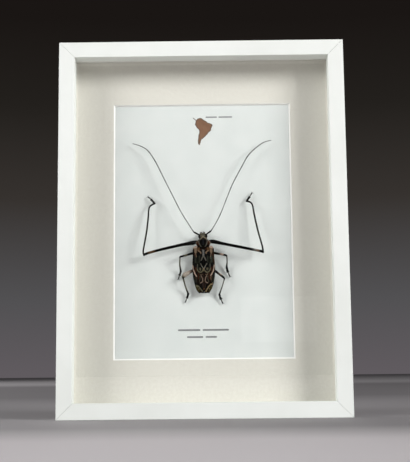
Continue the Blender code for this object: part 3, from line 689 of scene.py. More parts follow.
def wingCase(name, side):
    look = wingCases
    across, down = look["across"], look["down"]
    theta = np.radians(np.linspace(90, look["turnUnder"], across))[None, :]
    zs = np.linspace(look["rows"][0][0], look["rows"][-1][0], down)[:, None]
    half, top, bottom = rowsAt(look["rows"], zs)
    swellZ, swellReach = look["tailSwell"]
    half = half + wingOwn[side]["tail"] * hump(np.abs(zs - swellZ), swellReach)
    a, h = section(theta, half, top, bottom, look["squareness"], look["waist"])
    a = np.maximum(a, 0) + look["sutureGap"]
    frontLength, fullness = look["frontRounding"]
    full = roundedEnd(zs[0, 0] - zs, frontLength) * (1 - fullness) + fullness
    h = bottom + (h - bottom) * full
    z = np.broadcast_to(zs, a.shape).copy()
    shoulderPlace, halfWidth, shoulderZ, length, forward = look["shoulder"]
    z += forward * hump(np.abs(a - shoulderPlace), halfWidth) * np.clip((z - shoulderZ) / length, 0, 1)
    endZ, endLength, cutOff = look["end"]
    tail = np.clip((endZ - z) / endLength, 0, 1) ** 2
    spines = sum(long * hump(np.abs(a - spot), wide) for spot, wide, long in look["endSpines"])
    z = z + tail * (cutOff - spines)
    chance = np.random.default_rng(7 + side)
    swellSize, swellHeight = look["swell"]
    relief = -look["sutureGroove"] * hump(a, look["sutureWidth"])
    relief += swellHeight * ripple(a, z, swellSize, 11 + side)
    spot, slant, ribZ, wide, long, high = look["rib"]
    relief += high * hump(np.abs(a - spot - slant * (z - ribZ)), wide) * hump(np.abs(z - ribZ), long)
    nearest, farthest, frontZ, length, crowding = look["granulePlaces"]
    for _ in range(look["granules"]):
        ga, gz = chance.uniform(nearest, farthest), frontZ - length * chance.uniform(0, 1) ** crowding
        relief += look["granuleHeight"] * hump(np.hypot(a - ga, z - gz), look["granuleRadius"])
    sa, sz, reach, radius = look["shoulderSpine"]
    point = hump(np.hypot(a - sa, z - sz), radius)
    outline = np.stack((a, z, h), axis=-1)
    normal = np.cross(np.gradient(outline, axis=1), np.gradient(outline, axis=0))
    normal /= np.linalg.norm(normal, axis=-1, keepdims=True) + 1e-9
    if normal[down // 2, 3, 2] < 0:  # near the suture the outside faces away from the card
        normal = -normal
    outer = outline + normal * relief[..., None]
    outer[..., 0] += point * reach
    outer[..., 0] = np.maximum(outer[..., 0], look["sutureGap"])
    inner = outline - normal * look["thickness"]
    inner[..., 0] = np.maximum(inner[..., 0], look["sutureGap"])
    inner = inner[:, ::-look["innerStep"]]
    rings = np.concatenate((outer, inner), axis=1)
    (acrossSize, acrossReach), (alongSize, alongReach) = look["wander"]
    pa = a + acrossReach * ripple(a, z, acrossSize, 31 + side)
    pz = z + alongReach * ripple(a, z, alongSize, 41 + side)
    colours = np.broadcast_to(np.array(pigments["black"]), (*a.shape, 3))
    colours = brushed(colours, pa, pz, wingPattern + wingOwn[side]["strokes"])
    tints = np.concatenate((colours, np.broadcast_to(np.array(pigments["darkBrown"]), inner.shape)), axis=1)
    rings = leaned(rings[..., 0] * side, rings[..., 1], rings[..., 2])
    makePiece(name, [skin(rings, tints)], shellFinish)


for side, name in ((1, "wingCaseRight"), (-1, "wingCaseLeft")):
    wingCase(name, side)
print("wing cases made")


# The trunk's rows are as the wing cases' are
thorax = {
    "rows": ((-11.7, 5.3, 10.9, 2.8), (-13.2, 6.7, 11.9, 2.4), (-16.6, 8.1, 12.7, 2.2), (-19.4, 7.4, 12.4, 2.2),
             (-21.2, 7.5, 11.8, 2.4)),
    "squareness": 2.3, "waist": 0.5,
    "spine": (-15.9, 9.0, 2.4, 1.7),  # z, height, reach past the side and radius
    "grooves": ((-13.3, 0.8), (-20.2, 0.7)), "grooveDepth": 0.3,
    "wrinkle": (0.9, 0.08), "wander": (1.8, 0.12),  # size and height, size and reach
    "knobs": ((3.2, -15.0, 0.55, 1.7), (-3.2, -15.0, 0.55, 1.7), (0.0, -17.6, 0.3, 1.8),
              (5.2, -18.6, 0.25, 1.2), (-5.2, -18.6, 0.25, 1.2)),
    "around": 150, "down": 90,
}
thoraxPattern = (
    (0.8, "grey", 0.5, ((-3.2, -11.8), (-3.9, -13.2))),
    (0.8, "grey", 0.5, ((3.2, -11.8), (4.0, -13.2))),
    (1.0, "grey", 0.5, ((-5.4, -12.8), (-4.7, -16.5), (-3.3, -19.7), (-1.4, -21.4))),
    (1.0, "grey", 0.5, ((5.0, -13.2), (4.2, -16.8), (3.0, -19.7), (1.5, -21.4))),
    ("patch", "black", 0.5, ((-3.8, -13.4), (3.8, -13.4), (3.5, -17.0), (1.4, -20.5), (0.0, -21.3),
                             (-1.4, -20.5), (-3.5, -17.0))),
    (1.1, "slate", 0.8, ((0.0, -12.4), (0.0, -18.4))),
    (1.8, "rust", 1.0, ((-6.1, -15.2), (-5.6, -18.0))),
    (1.8, "rust", 1.0, ((5.9, -15.2), (5.4, -18.0))),
    (0.7, "tan", 0.5, ((-6.6, -13.8), (-7.8, -16.6), (-7.2, -19.6))),
    (0.7, "tan", 0.5, ((6.4, -13.8), (7.7, -16.6), (7.2, -19.6))),
    (0.9, "bark", 0.6, ((-8.6, -16.0), (-12.0, -16.0))),
    (0.9, "bark", 0.6, ((8.6, -16.0), (12.0, -16.0))),
    (0.9, "pink", 0.6, ((6.2, -13.2), (7.6, -14.6), (9.0, -16.6), (12.0, -17.2))),
    (0.7, "fawn", 0.6, ((-6.4, -13.2), (-7.8, -14.8), (-12.0, -16.6))),
)
underside = {
    "rows": ((-20.6, 8.6, 8.0, 2.2), (-26.0, 10.0, 8.0, 1.6), (-40.0, 10.6, 8.0, 1.6), (-52.0, 9.6, 8.0, 2.0),
             (-63.0, 7.4, 7.6, 3.0), (-70.4, 4.6, 7.0, 4.2)),
    "squareness": 2.3, "waist": 0.8, "plates": (-36.5, -44.5, -51.0, -57.0, -63.0), "step": 0.35,
    "plateSlope": 3.0, "around": 120, "down": 150,
}
scutellum = {
    "top": -20.9, "tip": -24.6, "halfWidth": 1.9, "height": 12.75, "drop": 0.5, "thickness": 0.8,
    "taper": 2.2, "down": 24, "around": 28,
}


def trunkForm(look, endRadius):
    theta = np.linspace(0, 2 * math.pi, look["around"], endpoint=False)[None, :]
    zs = np.linspace(look["rows"][0][0], look["rows"][-1][0], look["down"])[:, None]
    half, top, bottom = rowsAt(look["rows"], zs)
    x, h = section(theta, half, top, bottom, look["squareness"], look["waist"])
    full = np.minimum(roundedEnd(zs[0, 0] - zs, endRadius), roundedEnd(zs - zs[-1, 0], endRadius))
    full = np.maximum(full, 0.02)
    middle = (top + bottom) / 2
    return x * full, np.broadcast_to(zs, x.shape).copy(), middle + (h - middle) * full, theta


def buildThorax():
    x, z, h, theta = trunkForm(thorax, 0.8)
    upper = np.clip(np.sin(theta) * 2, 0, 1)
    for kx, kz, rise, radius in thorax["knobs"]:
        h = h + upper * rise * hump(np.hypot(x - kx, z - kz), radius)
    for grooveZ, wide in thorax["grooves"]:
        h = h - upper * thorax["grooveDepth"] * hump(np.abs(z - grooveZ), wide)
    size, high = thorax["wrinkle"]
    h = h + upper * high * ripple(x * 0.4, z, size, 5)  # drawn out across the thorax
    spineZ, spineH, reach, radius = thorax["spine"]
    near = np.hypot((z - spineZ) / radius, (h - spineH) / (radius * 1.2))
    x = x + np.sign(x) * (np.abs(x) > 4) * reach * np.exp(-3.0 * near ** 1.25)
    colours = np.broadcast_to(np.array(pigments["darkBrown"]), (*x.shape, 3))
    size, reach = thorax["wander"]
    wx, wz = x + reach * ripple(x, z, size, 3), z + reach * ripple(x, z, size, 4)
    top = upper[..., None]
    colours = colours * (1 - top) + brushed(colours, wx, wz, thoraxPattern) * top
    makePiece("thorax", [skin(leaned(x, z, h), colours)], shellFinish)


def buildUnderside():
    x, z, h, theta = trunkForm(underside, 1.2)
    lower = np.clip(-np.sin(theta) * 2, 0, 1)
    for edge in underside["plates"]:
        t = np.clip((z - edge) / underside["plateSlope"], 0, 1)
        h = h + lower * underside["step"] * np.where((z > edge) & (t < 1), (1 - t), 0)
    colours = evenTint(x.shape, "darkBrown", 1.2, 9, 0.3)
    makePiece("underside", [skin(leaned(x, z, h), colours)], bellyFinish)


def buildScutellum():
    look = scutellum
    t = np.linspace(0, 1, look["down"])[:, None]
    turn = np.linspace(0, 2 * math.pi, look["around"], endpoint=False)[None, :]
    z = look["top"] + (look["tip"] - look["top"]) * t
    width = look["halfWidth"] * np.sqrt(np.clip(1 - t ** look["taper"], 0.0004, 1)) * roundedEnd(t, 0.12)
    width = np.maximum(width, 0.03)
    x = np.cos(turn) * width
    thick = look["thickness"] / 2 * np.sqrt(width / look["halfWidth"])
    h = look["height"] - look["drop"] * t + np.sin(turn) * thick
    rings = leaned(x, np.broadcast_to(z, x.shape), h)
    makePiece("scutellum", [skin(rings, evenTint(x.shape, "darkBrown", 1.0, 6))], shellFinish)


buildThorax()
buildUnderside()
buildScutellum()
print("thorax, underside and scutellum made")


# The jaw and the palp are points of x, z, height and radius
head = {
    "rows": ((-4.0, 2.7, 5.4, 1.6), (-5.4, 3.3, 8.0, 1.6), (-8.3, 4.7, 10.4, 1.9), (-10.6, 4.5, 10.9, 2.4),
             (-12.8, 4.6, 10.8, 2.8)),
    "squareness": 2.3, "waist": 0.45, "around": 120, "down": 80,
    "tubercle": (2.7, -6.9, 1.0, 1.5),  # where the antenna sits: x, z, height and radius
    "groove": (0.6, -7.8, 3.6, 0.3),  # half width, z, half length and depth
    "wrinkle": (0.8, 0.06),  # size and height
    "eye": (3.9, -8.5, 8.2), "eyeSize": (1.5, 1.7, 2.4), "notch": 0.35,
    "jaw": ((1.9, -4.7, 3.4, 0.85), (1.9, -3.6, 2.6, 0.7), (1.2, -2.9, 1.9, 0.5), (0.3, -2.9, 1.4, 0.2)),
    "palp": ((1.4, -4.6, 1.9, 0.25), (2.3, -3.7, 1.4, 0.22), (2.5, -3.0, 1.1, 0.28)),
}
headPattern = (
    ("patch", "moss", 0.8, ((-5.2, -6.6), (5.2, -6.6), (5.6, -8.4), (3.6, -8.8), (-3.6, -8.8), (-5.6, -8.4))),
    (1.0, "sand", 0.5, ((-2.0, -4.6), (-1.2, -5.4))),
    (1.0, "sand", 0.5, ((1.2, -4.6), (2.2, -5.4))),
    (0.8, "grey", 0.6, ((-2.2, -7.8), (0.0, -7.2), (2.2, -7.8))),
    (1.1, "darkBrown", 0.7, ((2.9, -8.8), (4.4, -9.6))),
    (1.1, "soot", 0.7, ((-2.9, -9.2), (-3.6, -9.8))),
    (1.0, "sand", 0.5, ((-3.8, -12.6), (-2.4, -11.2), (0.0, -9.1), (2.4, -10.6), (4.1, -12.4))),
    ("patch", "black", 0.4, ((0.0, -9.9), (1.5, -11.6), (-1.5, -11.6))),
    (0.9, "grey", 0.6, ((-1.6, -12.6), (1.6, -12.6))),
)


def smoothed(points, gap, steps=24):  # a smooth line through points of x, z, h, radius, resampled evenly
    points = np.array(points, float)
    before = np.concatenate((points[:1], points[:-1]))
    after = np.concatenate((points[1:], points[-1:]))
    line = []
    for index in range(len(points) - 1):
        p0, p1, p2 = before[index], points[index], points[index + 1]
        p3 = after[index + 1]
        t = np.linspace(0, 1, steps, endpoint=False)[:, None]
        line.append(0.5 * (2 * p1 + (p2 - p0) * t + (2 * p0 - 5 * p1 + 4 * p2 - p3) * t**2
                           + (3 * p1 - p0 - 3 * p2 + p3) * t**3))
    line = np.concatenate((*line, points[-1:]))
    walked = np.concatenate(([0], np.cumsum(np.linalg.norm(np.diff(line[:, :3], axis=0), axis=1))))
    count = max(int(walked[-1] / gap), 6) + 1
    even = np.linspace(0, walked[-1], count)
    return np.stack([np.interp(even, walked, column) for column in line.T], axis=1), even


# A tube along a path: gap is the distance between its rings, flat its height for its width,
# shape swells it along its length and blunt is the radius of its ends
def limb(points, tint, gap, sides, flat=1.0, shape=None, rough=0.03, seed=1, blunt=None):
    path, distance = smoothed(points, gap)
    length = distance[-1]
    core, radius = path[:, :3], path[:, 3].copy()
    if shape is not None:
        radius = radius * shape(distance, length)
    along = np.gradient(core, axis=0)
    along /= np.linalg.norm(along, axis=1, keepdims=True)
    across = np.cross(along, (0.0, 0.0, 1.0))
    across /= np.linalg.norm(across, axis=1, keepdims=True) + 1e-9
    up = np.cross(across, along)
    full = np.minimum(roundedEnd(distance, blunt or radius[0]),
                      roundedEnd(length - distance, blunt or radius[-1]))
    radius = radius * np.maximum(full, 0.05)
    turn = np.linspace(0, 2 * math.pi, sides, endpoint=False)[None, :]
    wobble = 1 + rough * ripple(distance[:, None] + 0 * turn, turn * 1.2, 1.4, seed)
    ring = (across[:, None, :] * np.cos(turn)[..., None] + up[:, None, :] * (flat * np.sin(turn))[..., None])
    rings = core[:, None, :] + ring * (radius[:, None] * wobble)[..., None]
    tints = tint(distance[:, None] + 0 * turn, length, turn + 0 * distance[:, None], seed)
    return skin(rings, tints)


def plain(name):  # one pigment along a limb, slightly cloudy
    def tint(distance, length, turn, seed):
        shade = 1 + 0.2 * ripple(distance, turn * 1.5, 2.0, seed + 70)
        return np.array(pigments[name]) * shade[..., None]
    return tint


def banded(*stops, fleck=None):  # pigments along a limb: distance from its start, name
    def tint(distance, length, turn, seed):
        where = distance + 0.5 * ripple(distance, turn * 1.5, 2.4, seed + 50)
        keys = [stop[0] for stop in stops]
        values = np.array([pigments[stop[1]] for stop in stops])
        colour = np.stack([np.interp(where, keys, values[:, channel]) for channel in range(3)], axis=-1)
        if fleck:
            middle, reach, name, side = fleck
            cover = hump(np.abs(where - middle) / reach, 1.0) * np.clip(1.6 * np.cos(turn - side) + 0.3, 0, 1)
            colour = colour * (1 - cover[..., None]) + np.array(pigments[name]) * cover[..., None]
        shade = 1 + 0.18 * ripple(distance, turn * 1.5, 1.6, seed + 70)
        return colour * shade[..., None]
    return tint


def ballForm(centre, size, name, rings=20, around=28, dentAt=None):
    t = np.linspace(0.02, math.pi - 0.02, rings)[:, None]
    turn = np.linspace(0, 2 * math.pi, around, endpoint=False)[None, :]
    x = np.sin(t) * np.cos(turn) * size[0]
    z = np.cos(t) * size[1] + 0 * turn
    h = np.sin(t) * np.sin(turn) * size[2]
    points = np.stack((x, z, h), axis=-1)
    if dentAt:
        direction = np.array(dentAt[:3], float) / np.linalg.norm(dentAt[:3])
        unit = points / np.linalg.norm(points, axis=-1, keepdims=True)
        points *= 1 - dentAt[3] * hump(1 - unit @ direction, 0.5)[..., None]
    return skin(points + np.array(centre), evenTint(x.shape, name))


def buildHead():
    angle = bodyTurn["head"]
    x, z, h, theta = trunkForm(head, 1.0)
    upper = np.clip(np.sin(theta) * 2, 0, 1)
    tx, tz, rise, radius = head["tubercle"]
    for side in (-1, 1):
        h = h + upper * rise * hump(np.hypot(x - side * tx, z - tz), radius)
    wide, middle, long, deep = head["groove"]
    h = h - upper * deep * hump(np.abs(x), wide) * hump(np.abs(z - middle), long)
    size, high = head["wrinkle"]
    h = h + upper * high * ripple(x, z, size, 8)
    colours = np.broadcast_to(np.array(pigments["mossDeep"]), (*x.shape, 3))
    top = upper[..., None]
    colours = colours * (1 - top) + brushed(colours, x, z, headPattern) * top
    makePiece("head", [skin(leaned(x, z, h, angle), colours)], shellFinish)
    eyes, jaws = [], []
    for side in (-1, 1):
        ex, ez, eh = head["eye"]
        at = leaned(np.array(side * ex), np.array(ez), np.array(eh), angle)
        eyes.append(ballForm(at, head["eyeSize"], "black", dentAt=(-side * 0.6, 0.5, 0.7, head["notch"])))
        for points in (head["jaw"], head["palp"]):
            bent = [(*leaned(np.array(side * px), np.array(pz), np.array(ph), angle), radius)
                    for px, pz, ph, radius in points]
            jaws.append(limb(bent, plain("black"), 0.15, 14))
    makePiece("eyes", eyes, eyeFinish())
    makePiece("jaws", jaws, limbFinish)


buildHead()
print("head made")


# Femur, tibia and antenna are points of x, z, height and radius, a foot has no radius,
# and the tints are pigments at distances along the limb
legs = {
    "foreRight": {
        "femur": ((6.5, -14.3, 6.5, 1.8), (12.0, -15.0, 9.5, 2.3), (24.0, -17.9, 11.6, 1.68),
                  (45.0, -22.5, 13.2, 1.62), (61.0, -26.0, 14.0, 1.42), (66.9, -27.3, 14.2, 1.65)),
        "tibia": ((66.9, -27.7, 14.0, 1.1), (66.2, -21.0, 13.6, 0.95), (62.1, -4.9, 12.0, 0.98),
                  (58.3, 13.8, 9.5, 0.98), (56.6, 25.2, 7.5, 0.92), (54.4, 29.8, 6.3, 0.88),
                  (49.9, 31.6, 5.2, 0.98)),
        "tarsus": ((49.7, 31.3, 5.0), (51.2, 33.6, 4.3), (53.0, 36.4, 3.8), (54.2, 38.2, 3.6),
                   (56.1, 41.2, 2.8)),
        "foot": 1.7,
        "femurTint": ((0, "black"), (50, "black"), (54, "boneGrey"), (57, "tan"), (59.5, "black"),
                      (63, "black")),
        "tibiaTint": ((0, "black"), (4, "soot"), (20, "greyGreen"), (45, "soot"), (70, "black")),
    },
    "foreLeft": {
        "femur": ((-6.5, -14.3, 6.5, 1.8), (-13.0, -16.3, 9.8, 2.3), (-25.0, -18.6, 11.6, 1.75),
                  (-45.0, -23.2, 13.2, 1.58), (-60.0, -27.1, 14.0, 1.43), (-66.0, -29.3, 14.2, 1.6)),
        "tibia": ((-66.2, -29.7, 14.0, 1.0), (-67.0, -24.5, 13.8, 0.9), (-63.6, -4.6, 12.0, 0.96),
                  (-61.7, 12.9, 9.5, 0.95), (-61.2, 21.9, 7.8, 0.85), (-59.5, 26.9, 6.5, 0.88),
                  (-54.7, 30.1, 5.2, 0.98)),
        "tarsus": ((-54.5, 29.8, 5.0), (-56.5, 32.4, 4.3), (-58.6, 34.8, 3.8), (-60.0, 36.2, 3.5),
                   (-62.2, 38.1, 2.8)),
        "foot": 1.8,
        "femurTint": ((0, "black"), (49, "black"), (52, "orangeBrown"), (57, "orangeBrown"), (59, "black"),
                      (63, "black")),
        "tibiaTint": ((0, "black"), (4, "soot"), (20, "greyGreen"), (45, "soot"), (70, "black")),
    },
    "midRight": {
        "femur": ((7.0, -27.2, 4.0, 1.3), (11.4, -27.4, 6.0, 1.35), (18.6, -28.9, 9.0, 1.25),
                  (26.3, -30.9, 11.0, 1.15)),
        "tibia": ((26.3, -31.3, 10.8, 0.82), (26.7, -37.0, 8.0, 0.7), (26.2, -43.2, 4.4, 1.0)),
        "tarsus": ((26.2, -42.7, 4.7), (26.8, -46.6, 3.4), (28.0, -49.6, 2.8), (28.5, -51.2, 2.5),
                   (29.7, -53.6, 2.2)),
        "foot": 2.0,
        "femurTint": ((0, "black"), (12, "black"), (13.5, "fawn"), (16.6, "pink"), (18, "black"),
                      (22, "black")),
        "tibiaTint": ((0, "black"), (2, "grey"), (8, "grey"), (11, "black"), (15, "black")),
    },
    "midLeft": {
        "femur": ((-7.0, -26.5, 4.0, 1.4), (-11.9, -27.5, 6.0, 1.45), (-19.0, -29.8, 9.0, 1.15),
                  (-26.2, -31.9, 11.0, 1.1)),
        "tibia": ((-26.1, -32.3, 10.8, 0.85), (-26.5, -40.0, 8.0, 0.85), (-25.5, -47.4, 4.4, 1.05)),
        "tarsus": ((-25.3, -46.8, 4.7), (-26.3, -50.2, 3.4), (-27.2, -52.4, 2.8), (-27.6, -53.8, 2.5),
                   (-28.1, -55.9, 2.2)),
        "foot": 1.9,
        "femurTint": ((0, "black"), (12, "black"), (13.5, "moss"), (15.5, "lichen"), (17, "black"),
                      (22, "black")),
        "tibiaTint": ((0, "black"), (2, "moss"), (10, "moss"), (14, "black"), (17, "black")),
    },
    "hindRight": {
        "femur": ((8.0, -44.6, 4.0, 1.3), (12.8, -47.5, 5.8, 1.4), (18.2, -51.8, 8.2, 1.35),
                  (23.6, -56.3, 10.0, 1.2)),
        "tibia": ((23.4, -56.9, 9.8, 0.82), (20.7, -65.9, 7.0, 0.68), (17.5, -74.3, 4.2, 0.95)),
        "tarsus": ((17.6, -73.7, 4.5), (18.5, -77.5, 3.3), (19.8, -80.0, 2.8), (20.2, -81.4, 2.5),
                   (21.2, -83.7, 2.2)),
        "foot": 2.0,
        "femurTint": ((0, "black"), (22, "black")),
        "fleck": (14.0, 3.4, "pink", math.pi),  # a patch: its middle, half length, pigment and side
        "tibiaTint": ((0, "black"), (2, "boneGrey"), (13, "grey"), (17, "black"), (20, "black")),
    },
    "hindLeft": {
        "femur": ((-8.0, -45.1, 4.0, 1.2), (-12.8, -47.4, 5.8, 1.5), (-17.4, -49.8, 7.6, 2.3),
                  (-20.8, -52.1, 9.0, 2.7), (-22.5, -54.3, 9.8, 1.9), (-22.9, -55.7, 10.0, 1.1)),
        "flatness": 0.62,  # height for its width
        "tibia": ((-22.7, -55.9, 9.8, 0.9), (-20.5, -64.5, 7.0, 0.78), (-17.4, -72.9, 4.2, 1.0)),
        "tarsus": ((-17.2, -72.3, 4.5), (-18.2, -76.0, 3.3), (-19.2, -78.3, 2.8), (-19.7, -79.7, 2.5),
                   (-20.5, -81.8, 2.2)),
        "foot": 1.9,
        "femurTint": ((0, "black"), (4, "soot"), (7, "fawn"), (11, "ash"), (16.6, "ash"), (18.6, "moss"),
                      (19.8, "soot")),
        "tibiaTint": ((0, "black"), (2, "moss"), (13, "moss"), (17, "black"), (20, "black")),
    },
}
antennae = {
    "right": (((2.2, -7.4, 9.2, 0.9), (5.0, -5.7, 10.4, 0.85), (9.0, -2.9, 11.4, 1.05)),
              ((8.9, -3.2, 11.4, 0.5), (18.3, 12.6, 12.4, 0.48), (27.8, 35.5, 12.0, 0.46),
               (34.2, 50.8, 11.2, 0.47), (44.2, 69.5, 10.0, 0.52), (52.0, 83.2, 9.0, 0.54),
               (61.2, 92.5, 8.0, 0.48), (70.3, 99.1, 7.0, 0.42), (79.2, 101.8, 6.0, 0.36))),
    "left": (((-3.2, -7.6, 9.2, 0.9), (-6.0, -6.3, 10.4, 0.85), (-10.3, -4.1, 11.4, 1.05)),
             ((-10.2, -4.4, 11.4, 0.5), (-23.8, 17.6, 12.4, 0.48), (-32.8, 35.4, 12.0, 0.46),
              (-43.7, 57.8, 11.2, 0.5), (-52.8, 76.5, 10.0, 0.54), (-61.4, 90.0, 9.0, 0.5),
              (-69.2, 95.7, 8.0, 0.44), (-79.7, 99.7, 6.0, 0.36))),
    "joints": (0.02, 0.17, 0.30, 0.42, 0.53, 0.635, 0.735, 0.83, 0.92),  # where the segments meet
    "knob": 1.3, "knobLength": 0.9, "darker": 0.4,
}
foot = {
    # start and end of each joint as shares of the foot, and its radius at both, for a foot of size 1
    "joints": ((0.0, 0.27, 0.45, 0.8), (0.24, 0.45, 0.45, 0.85), (0.42, 0.62, 0.5, 1.0)),
    "lastJoint": (0.58, 0.26, 0.42), "flatness": 0.6, "lastFlatness": 0.9, "blunt": 0.3,
    # points of a claw: forward, sideways, up and radius
    "claw": ((-0.4, 0.0, 0.0, 0.34), (0.5, 0.5, 0.0, 0.32), (0.9, 1.2, -0.2, 0.22), (0.6, 1.6, -0.5, 0.08)),
}
tubes = {
    "gap": 0.22, "femurSides": 22, "tibiaSides": 18, "kneeSize": 1.2, "antennaSides": 12, "antennaRoot": 0.62,
}


def tarsusForms(points, size, seed):  # two narrow joints, a heart-shaped one, then a thin one with two claws
    path, distance = smoothed([(*p, 0.5) for p in points], 0.1)
    length = distance[-1]
    forms = []
    for start, end, narrow, wide in foot["joints"]:
        pick = path[(distance >= start * length) & (distance <= end * length)].copy()
        pick[:, 3] = np.linspace(narrow, wide, len(pick)) * size
        forms.append(limb(pick[::3], plain("black"), 0.1, 18, foot["flatness"], seed=seed, blunt=foot["blunt"]))
    start, narrow, wide = foot["lastJoint"]
    pick = path[distance >= start * length].copy()
    pick[:, 3] = np.linspace(narrow, wide, len(pick)) * size
    forms.append(limb(pick[::3], banded((0, "boneGrey"), (1.2, "grey"), (2.2, "black")), 0.12, 12,
                      foot["lastFlatness"], seed=seed))
    tip, heading = path[-1, :3], path[-1, :3] - path[-8, :3]
    heading /= np.linalg.norm(heading)
    beside = np.cross(heading, (0, 0, 1.0))
    for side in (-1, 1):
        claw = [(*(tip + heading * forward + beside * side * sideways + np.array((0, 0, up))), radius)
                for forward, sideways, up, radius in foot["claw"]]
        forms.append(limb(claw, plain("black"), 0.08, 10, seed=seed))
    return forms


def buildLeg(name, leg, seed):
    femur, tibia = leg["femur"], leg["tibia"]
    forms = [limb(femur, banded(*leg["femurTint"], fleck=leg.get("fleck")), tubes["gap"], tubes["femurSides"],
                  leg.get("flatness", 1.0), seed=seed)]
    forms.append(limb(tibia, banded(*leg["tibiaTint"]), tubes["gap"], tubes["tibiaSides"], rough=0.04,
                      seed=seed + 1))
    for x, z, h, radius in (tibia[0], tibia[-1]):
        forms.append(ballForm((x, z, h), (radius * tubes["kneeSize"],) * 3, "black", 12, 16))
    forms += tarsusForms(leg["tarsus"], leg["foot"], seed + 2)
    makePiece(name, forms, limbFinish)


def segmented(distance, length):  # each joint of the antenna swells at its far end
    knob = np.zeros_like(distance)
    for joint in antennae["joints"][1:]:
        away = distance - joint * length
        knob += np.where(away <= 0, hump(-away, antennae["knobLength"] * 1.6), hump(away, 0.25))
        knob -= 0.9 * hump(np.abs(away - 0.45), 0.3)
    return 1 + (antennae["knob"] - 1) * knob


def annulated(distance, length, turn, seed):  # dark at each joint, paler between
    t = distance / length
    dark = np.zeros_like(distance)
    for joint in antennae["joints"]:
        away = joint * length - distance
        dark = np.maximum(dark, hump(np.maximum(away, 0), 6.0) * (away > -0.2))
    pale = np.array(pigments["antennaGrey"]) * (1 - antennae["darker"] * t[..., None])
    deep = np.array(pigments["soot"]) * (1 + 0.6 * t[..., None])
    shade = 1 + 0.15 * ripple(distance, turn * 1.5, 1.5, seed)
    return (pale * (1 - dark[..., None]) + deep * dark[..., None]) * shade[..., None]


def buildAntenna(name, parts, seed):
    scape, flagellum = parts
    forms = [limb(scape, banded((0, "soot"), (2, "black"), (8, "black")), 0.2, 18, seed=seed)]
    forms.append(ballForm(flagellum[0][:3], (tubes["antennaRoot"],) * 3, "black", 12, 16))
    forms.append(limb(flagellum, annulated, tubes["gap"], tubes["antennaSides"], shape=segmented,
                      seed=seed + 1))
    makePiece(name, forms, limbFinish)


for number, (name, leg) in enumerate(legs.items()):
    buildLeg(name, leg, 20 + number * 5)
print("legs made")
for number, side in enumerate(("right", "left")):
    buildAntenna("antenna" + side.capitalize(), antennae[side], 60 + number * 5)
print("antennae made")


studio = {
    # the floor's colour from in front of the frame to far behind it: painted shade darkens it behind the frame,
    # and painted light brightens it again near its far edge
    "floor": ((0.0, (204, 198, 200)), (0.037, (199, 193, 195)), (0.055, (177, 172, 174)),
              (0.08, (143, 139, 141)), (0.125, (145, 141, 143)), (0.2, (151, 147, 149)),
              (0.375, (116, 112, 114)), (0.8, (120, 116, 118)), (1.0, (166, 162, 164))),
    "floorReach": (-0.5, 3.5), "floorSize": 12.0, "floorCloud": 0.4, "floorRoughness": 0.75,
    # the sky's colour from the horizon up
    "sky": ((0.0, (96, 91, 95)), (0.07, (82, 81, 83)), (0.17, (54, 50, 47)), (0.26, (35, 32, 29)),
            (0.34, (26, 22, 20)), (0.5, (26, 22, 20)), (0.8, (88, 88, 90)), (1.0, (98, 98, 100))),
    "front": 0.15,  # how bright the low sky is on the side of the frame's face
    "frontFade": (-0.4, 0.2), "riseFade": (0.34, 0.6),  # how that side fades into the back and the top
    "lights": (  # name, place, width, height, watts
        ("rightBox", (4.3, -3.4, 2.05), 2.3, 1.9, 294.0),
        ("leftBox", (-4.6, -3.1, 1.9), 3.0, 2.4, 224.0),
        ("backBox", (-4.5, 3.4, 2.0), 3.0, 2.4, 180.0),
        ("windowGlow", (0.23, -2.2, 0.22), 0.25, 0.15, 0.03),
    ),
    "camera": {"place": (0.0080, -1.1096, 0.0499), "turns": ((0.295, "Z"), (98.03, "X"), (-0.605, "Z")),
               "lens": 77.92, "sensor": 36.0},
}


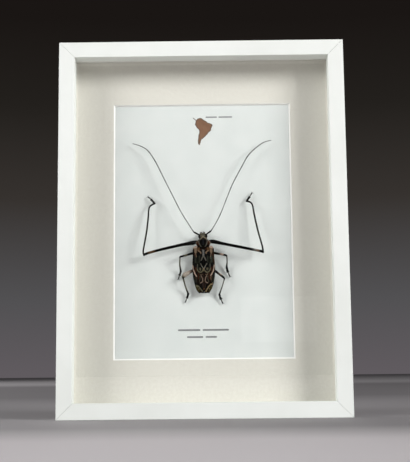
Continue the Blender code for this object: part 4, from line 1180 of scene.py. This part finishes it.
def buildFloor():
    mesh = bpy.data.meshes.new("studioFloor")
    bm = bmesh.new()
    bmesh.ops.create_grid(bm, x_segments=1, y_segments=1, size=studio["floorSize"])
    bm.to_mesh(mesh)
    bm.free()
    made, tree, shader = newFinish("studioFloor")
    where = place(tree)
    cloud = grain(tree, where, studio["floorCloud"], 2)
    deep = put(tree, "SeparateXYZ", {0: where}).outputs["Y"]
    # painted shade and painted light on the floor, by distance from front to back
    paintedFloorShading = ramp(tree, between(tree, deep, 0, 1, *studio["floorReach"]), studio["floor"])
    tree.links.new(blendColours(tree, between(tree, cloud, 0, 0.06), paintedFloorShading, (0.3, 0.3, 0.3, 1)),
                   shader.inputs["Base Color"])
    shader.inputs["Roughness"].default_value = studio["floorRoughness"]
    mesh.materials.append(made)
    floor = bpy.data.objects.new("studioFloor", mesh)
    bpy.context.scene.collection.objects.link(floor)


def buildWorld():
    world = bpy.data.worlds.new("studio")
    bpy.context.scene.world = world
    world.use_nodes = True
    tree = world.node_tree
    where = put(tree, "TexCoord", {}).outputs["Generated"]
    rise = put(tree, "SeparateXYZ", {0: where}).outputs["Z"]
    deep = put(tree, "SeparateXYZ", {0: where}).outputs["Y"]
    dim = put(tree, "Math", {0: between(tree, deep, studio["front"], 1, *studio["frontFade"]),
                             1: between(tree, rise, 0, 1, *studio["riseFade"])}, operation="MAXIMUM").outputs[0]
    background = tree.nodes["Background"]
    tree.links.new(ramp(tree, rise, studio["sky"]), background.inputs["Color"])
    tree.links.new(dim, background.inputs["Strength"])


def buildLights():
    aim = Vector((0.0, 0.0, middleHeight))
    for name, spot, width, height, watts in studio["lights"]:
        lamp = bpy.data.lights.new(name, "AREA")
        lamp.shape = "RECTANGLE"
        lamp.size, lamp.size_y = width, height
        lamp.energy = watts
        box = bpy.data.objects.new(name, lamp)
        box.location = spot
        box.rotation_euler = (aim - Vector(spot)).to_track_quat("-Z", "Y").to_euler()
        bpy.context.scene.collection.objects.link(box)


def buildCamera():
    look = studio["camera"]
    data = bpy.data.cameras.new("camera")
    data.sensor_width, data.lens = look["sensor"], look["lens"]
    stand = Matrix.Translation(look["place"])
    for degrees, axis in look["turns"]:
        stand = stand @ Matrix.Rotation(math.radians(degrees), 4, axis)
    camera = bpy.data.objects.new("camera", data)
    camera.matrix_world = stand
    bpy.context.scene.collection.objects.link(camera)
    bpy.context.scene.camera = camera


buildFloor()
buildWorld()
buildLights()
buildCamera()
bpy.context.scene.view_settings.view_transform = "Standard"
print("floor, light and camera set")
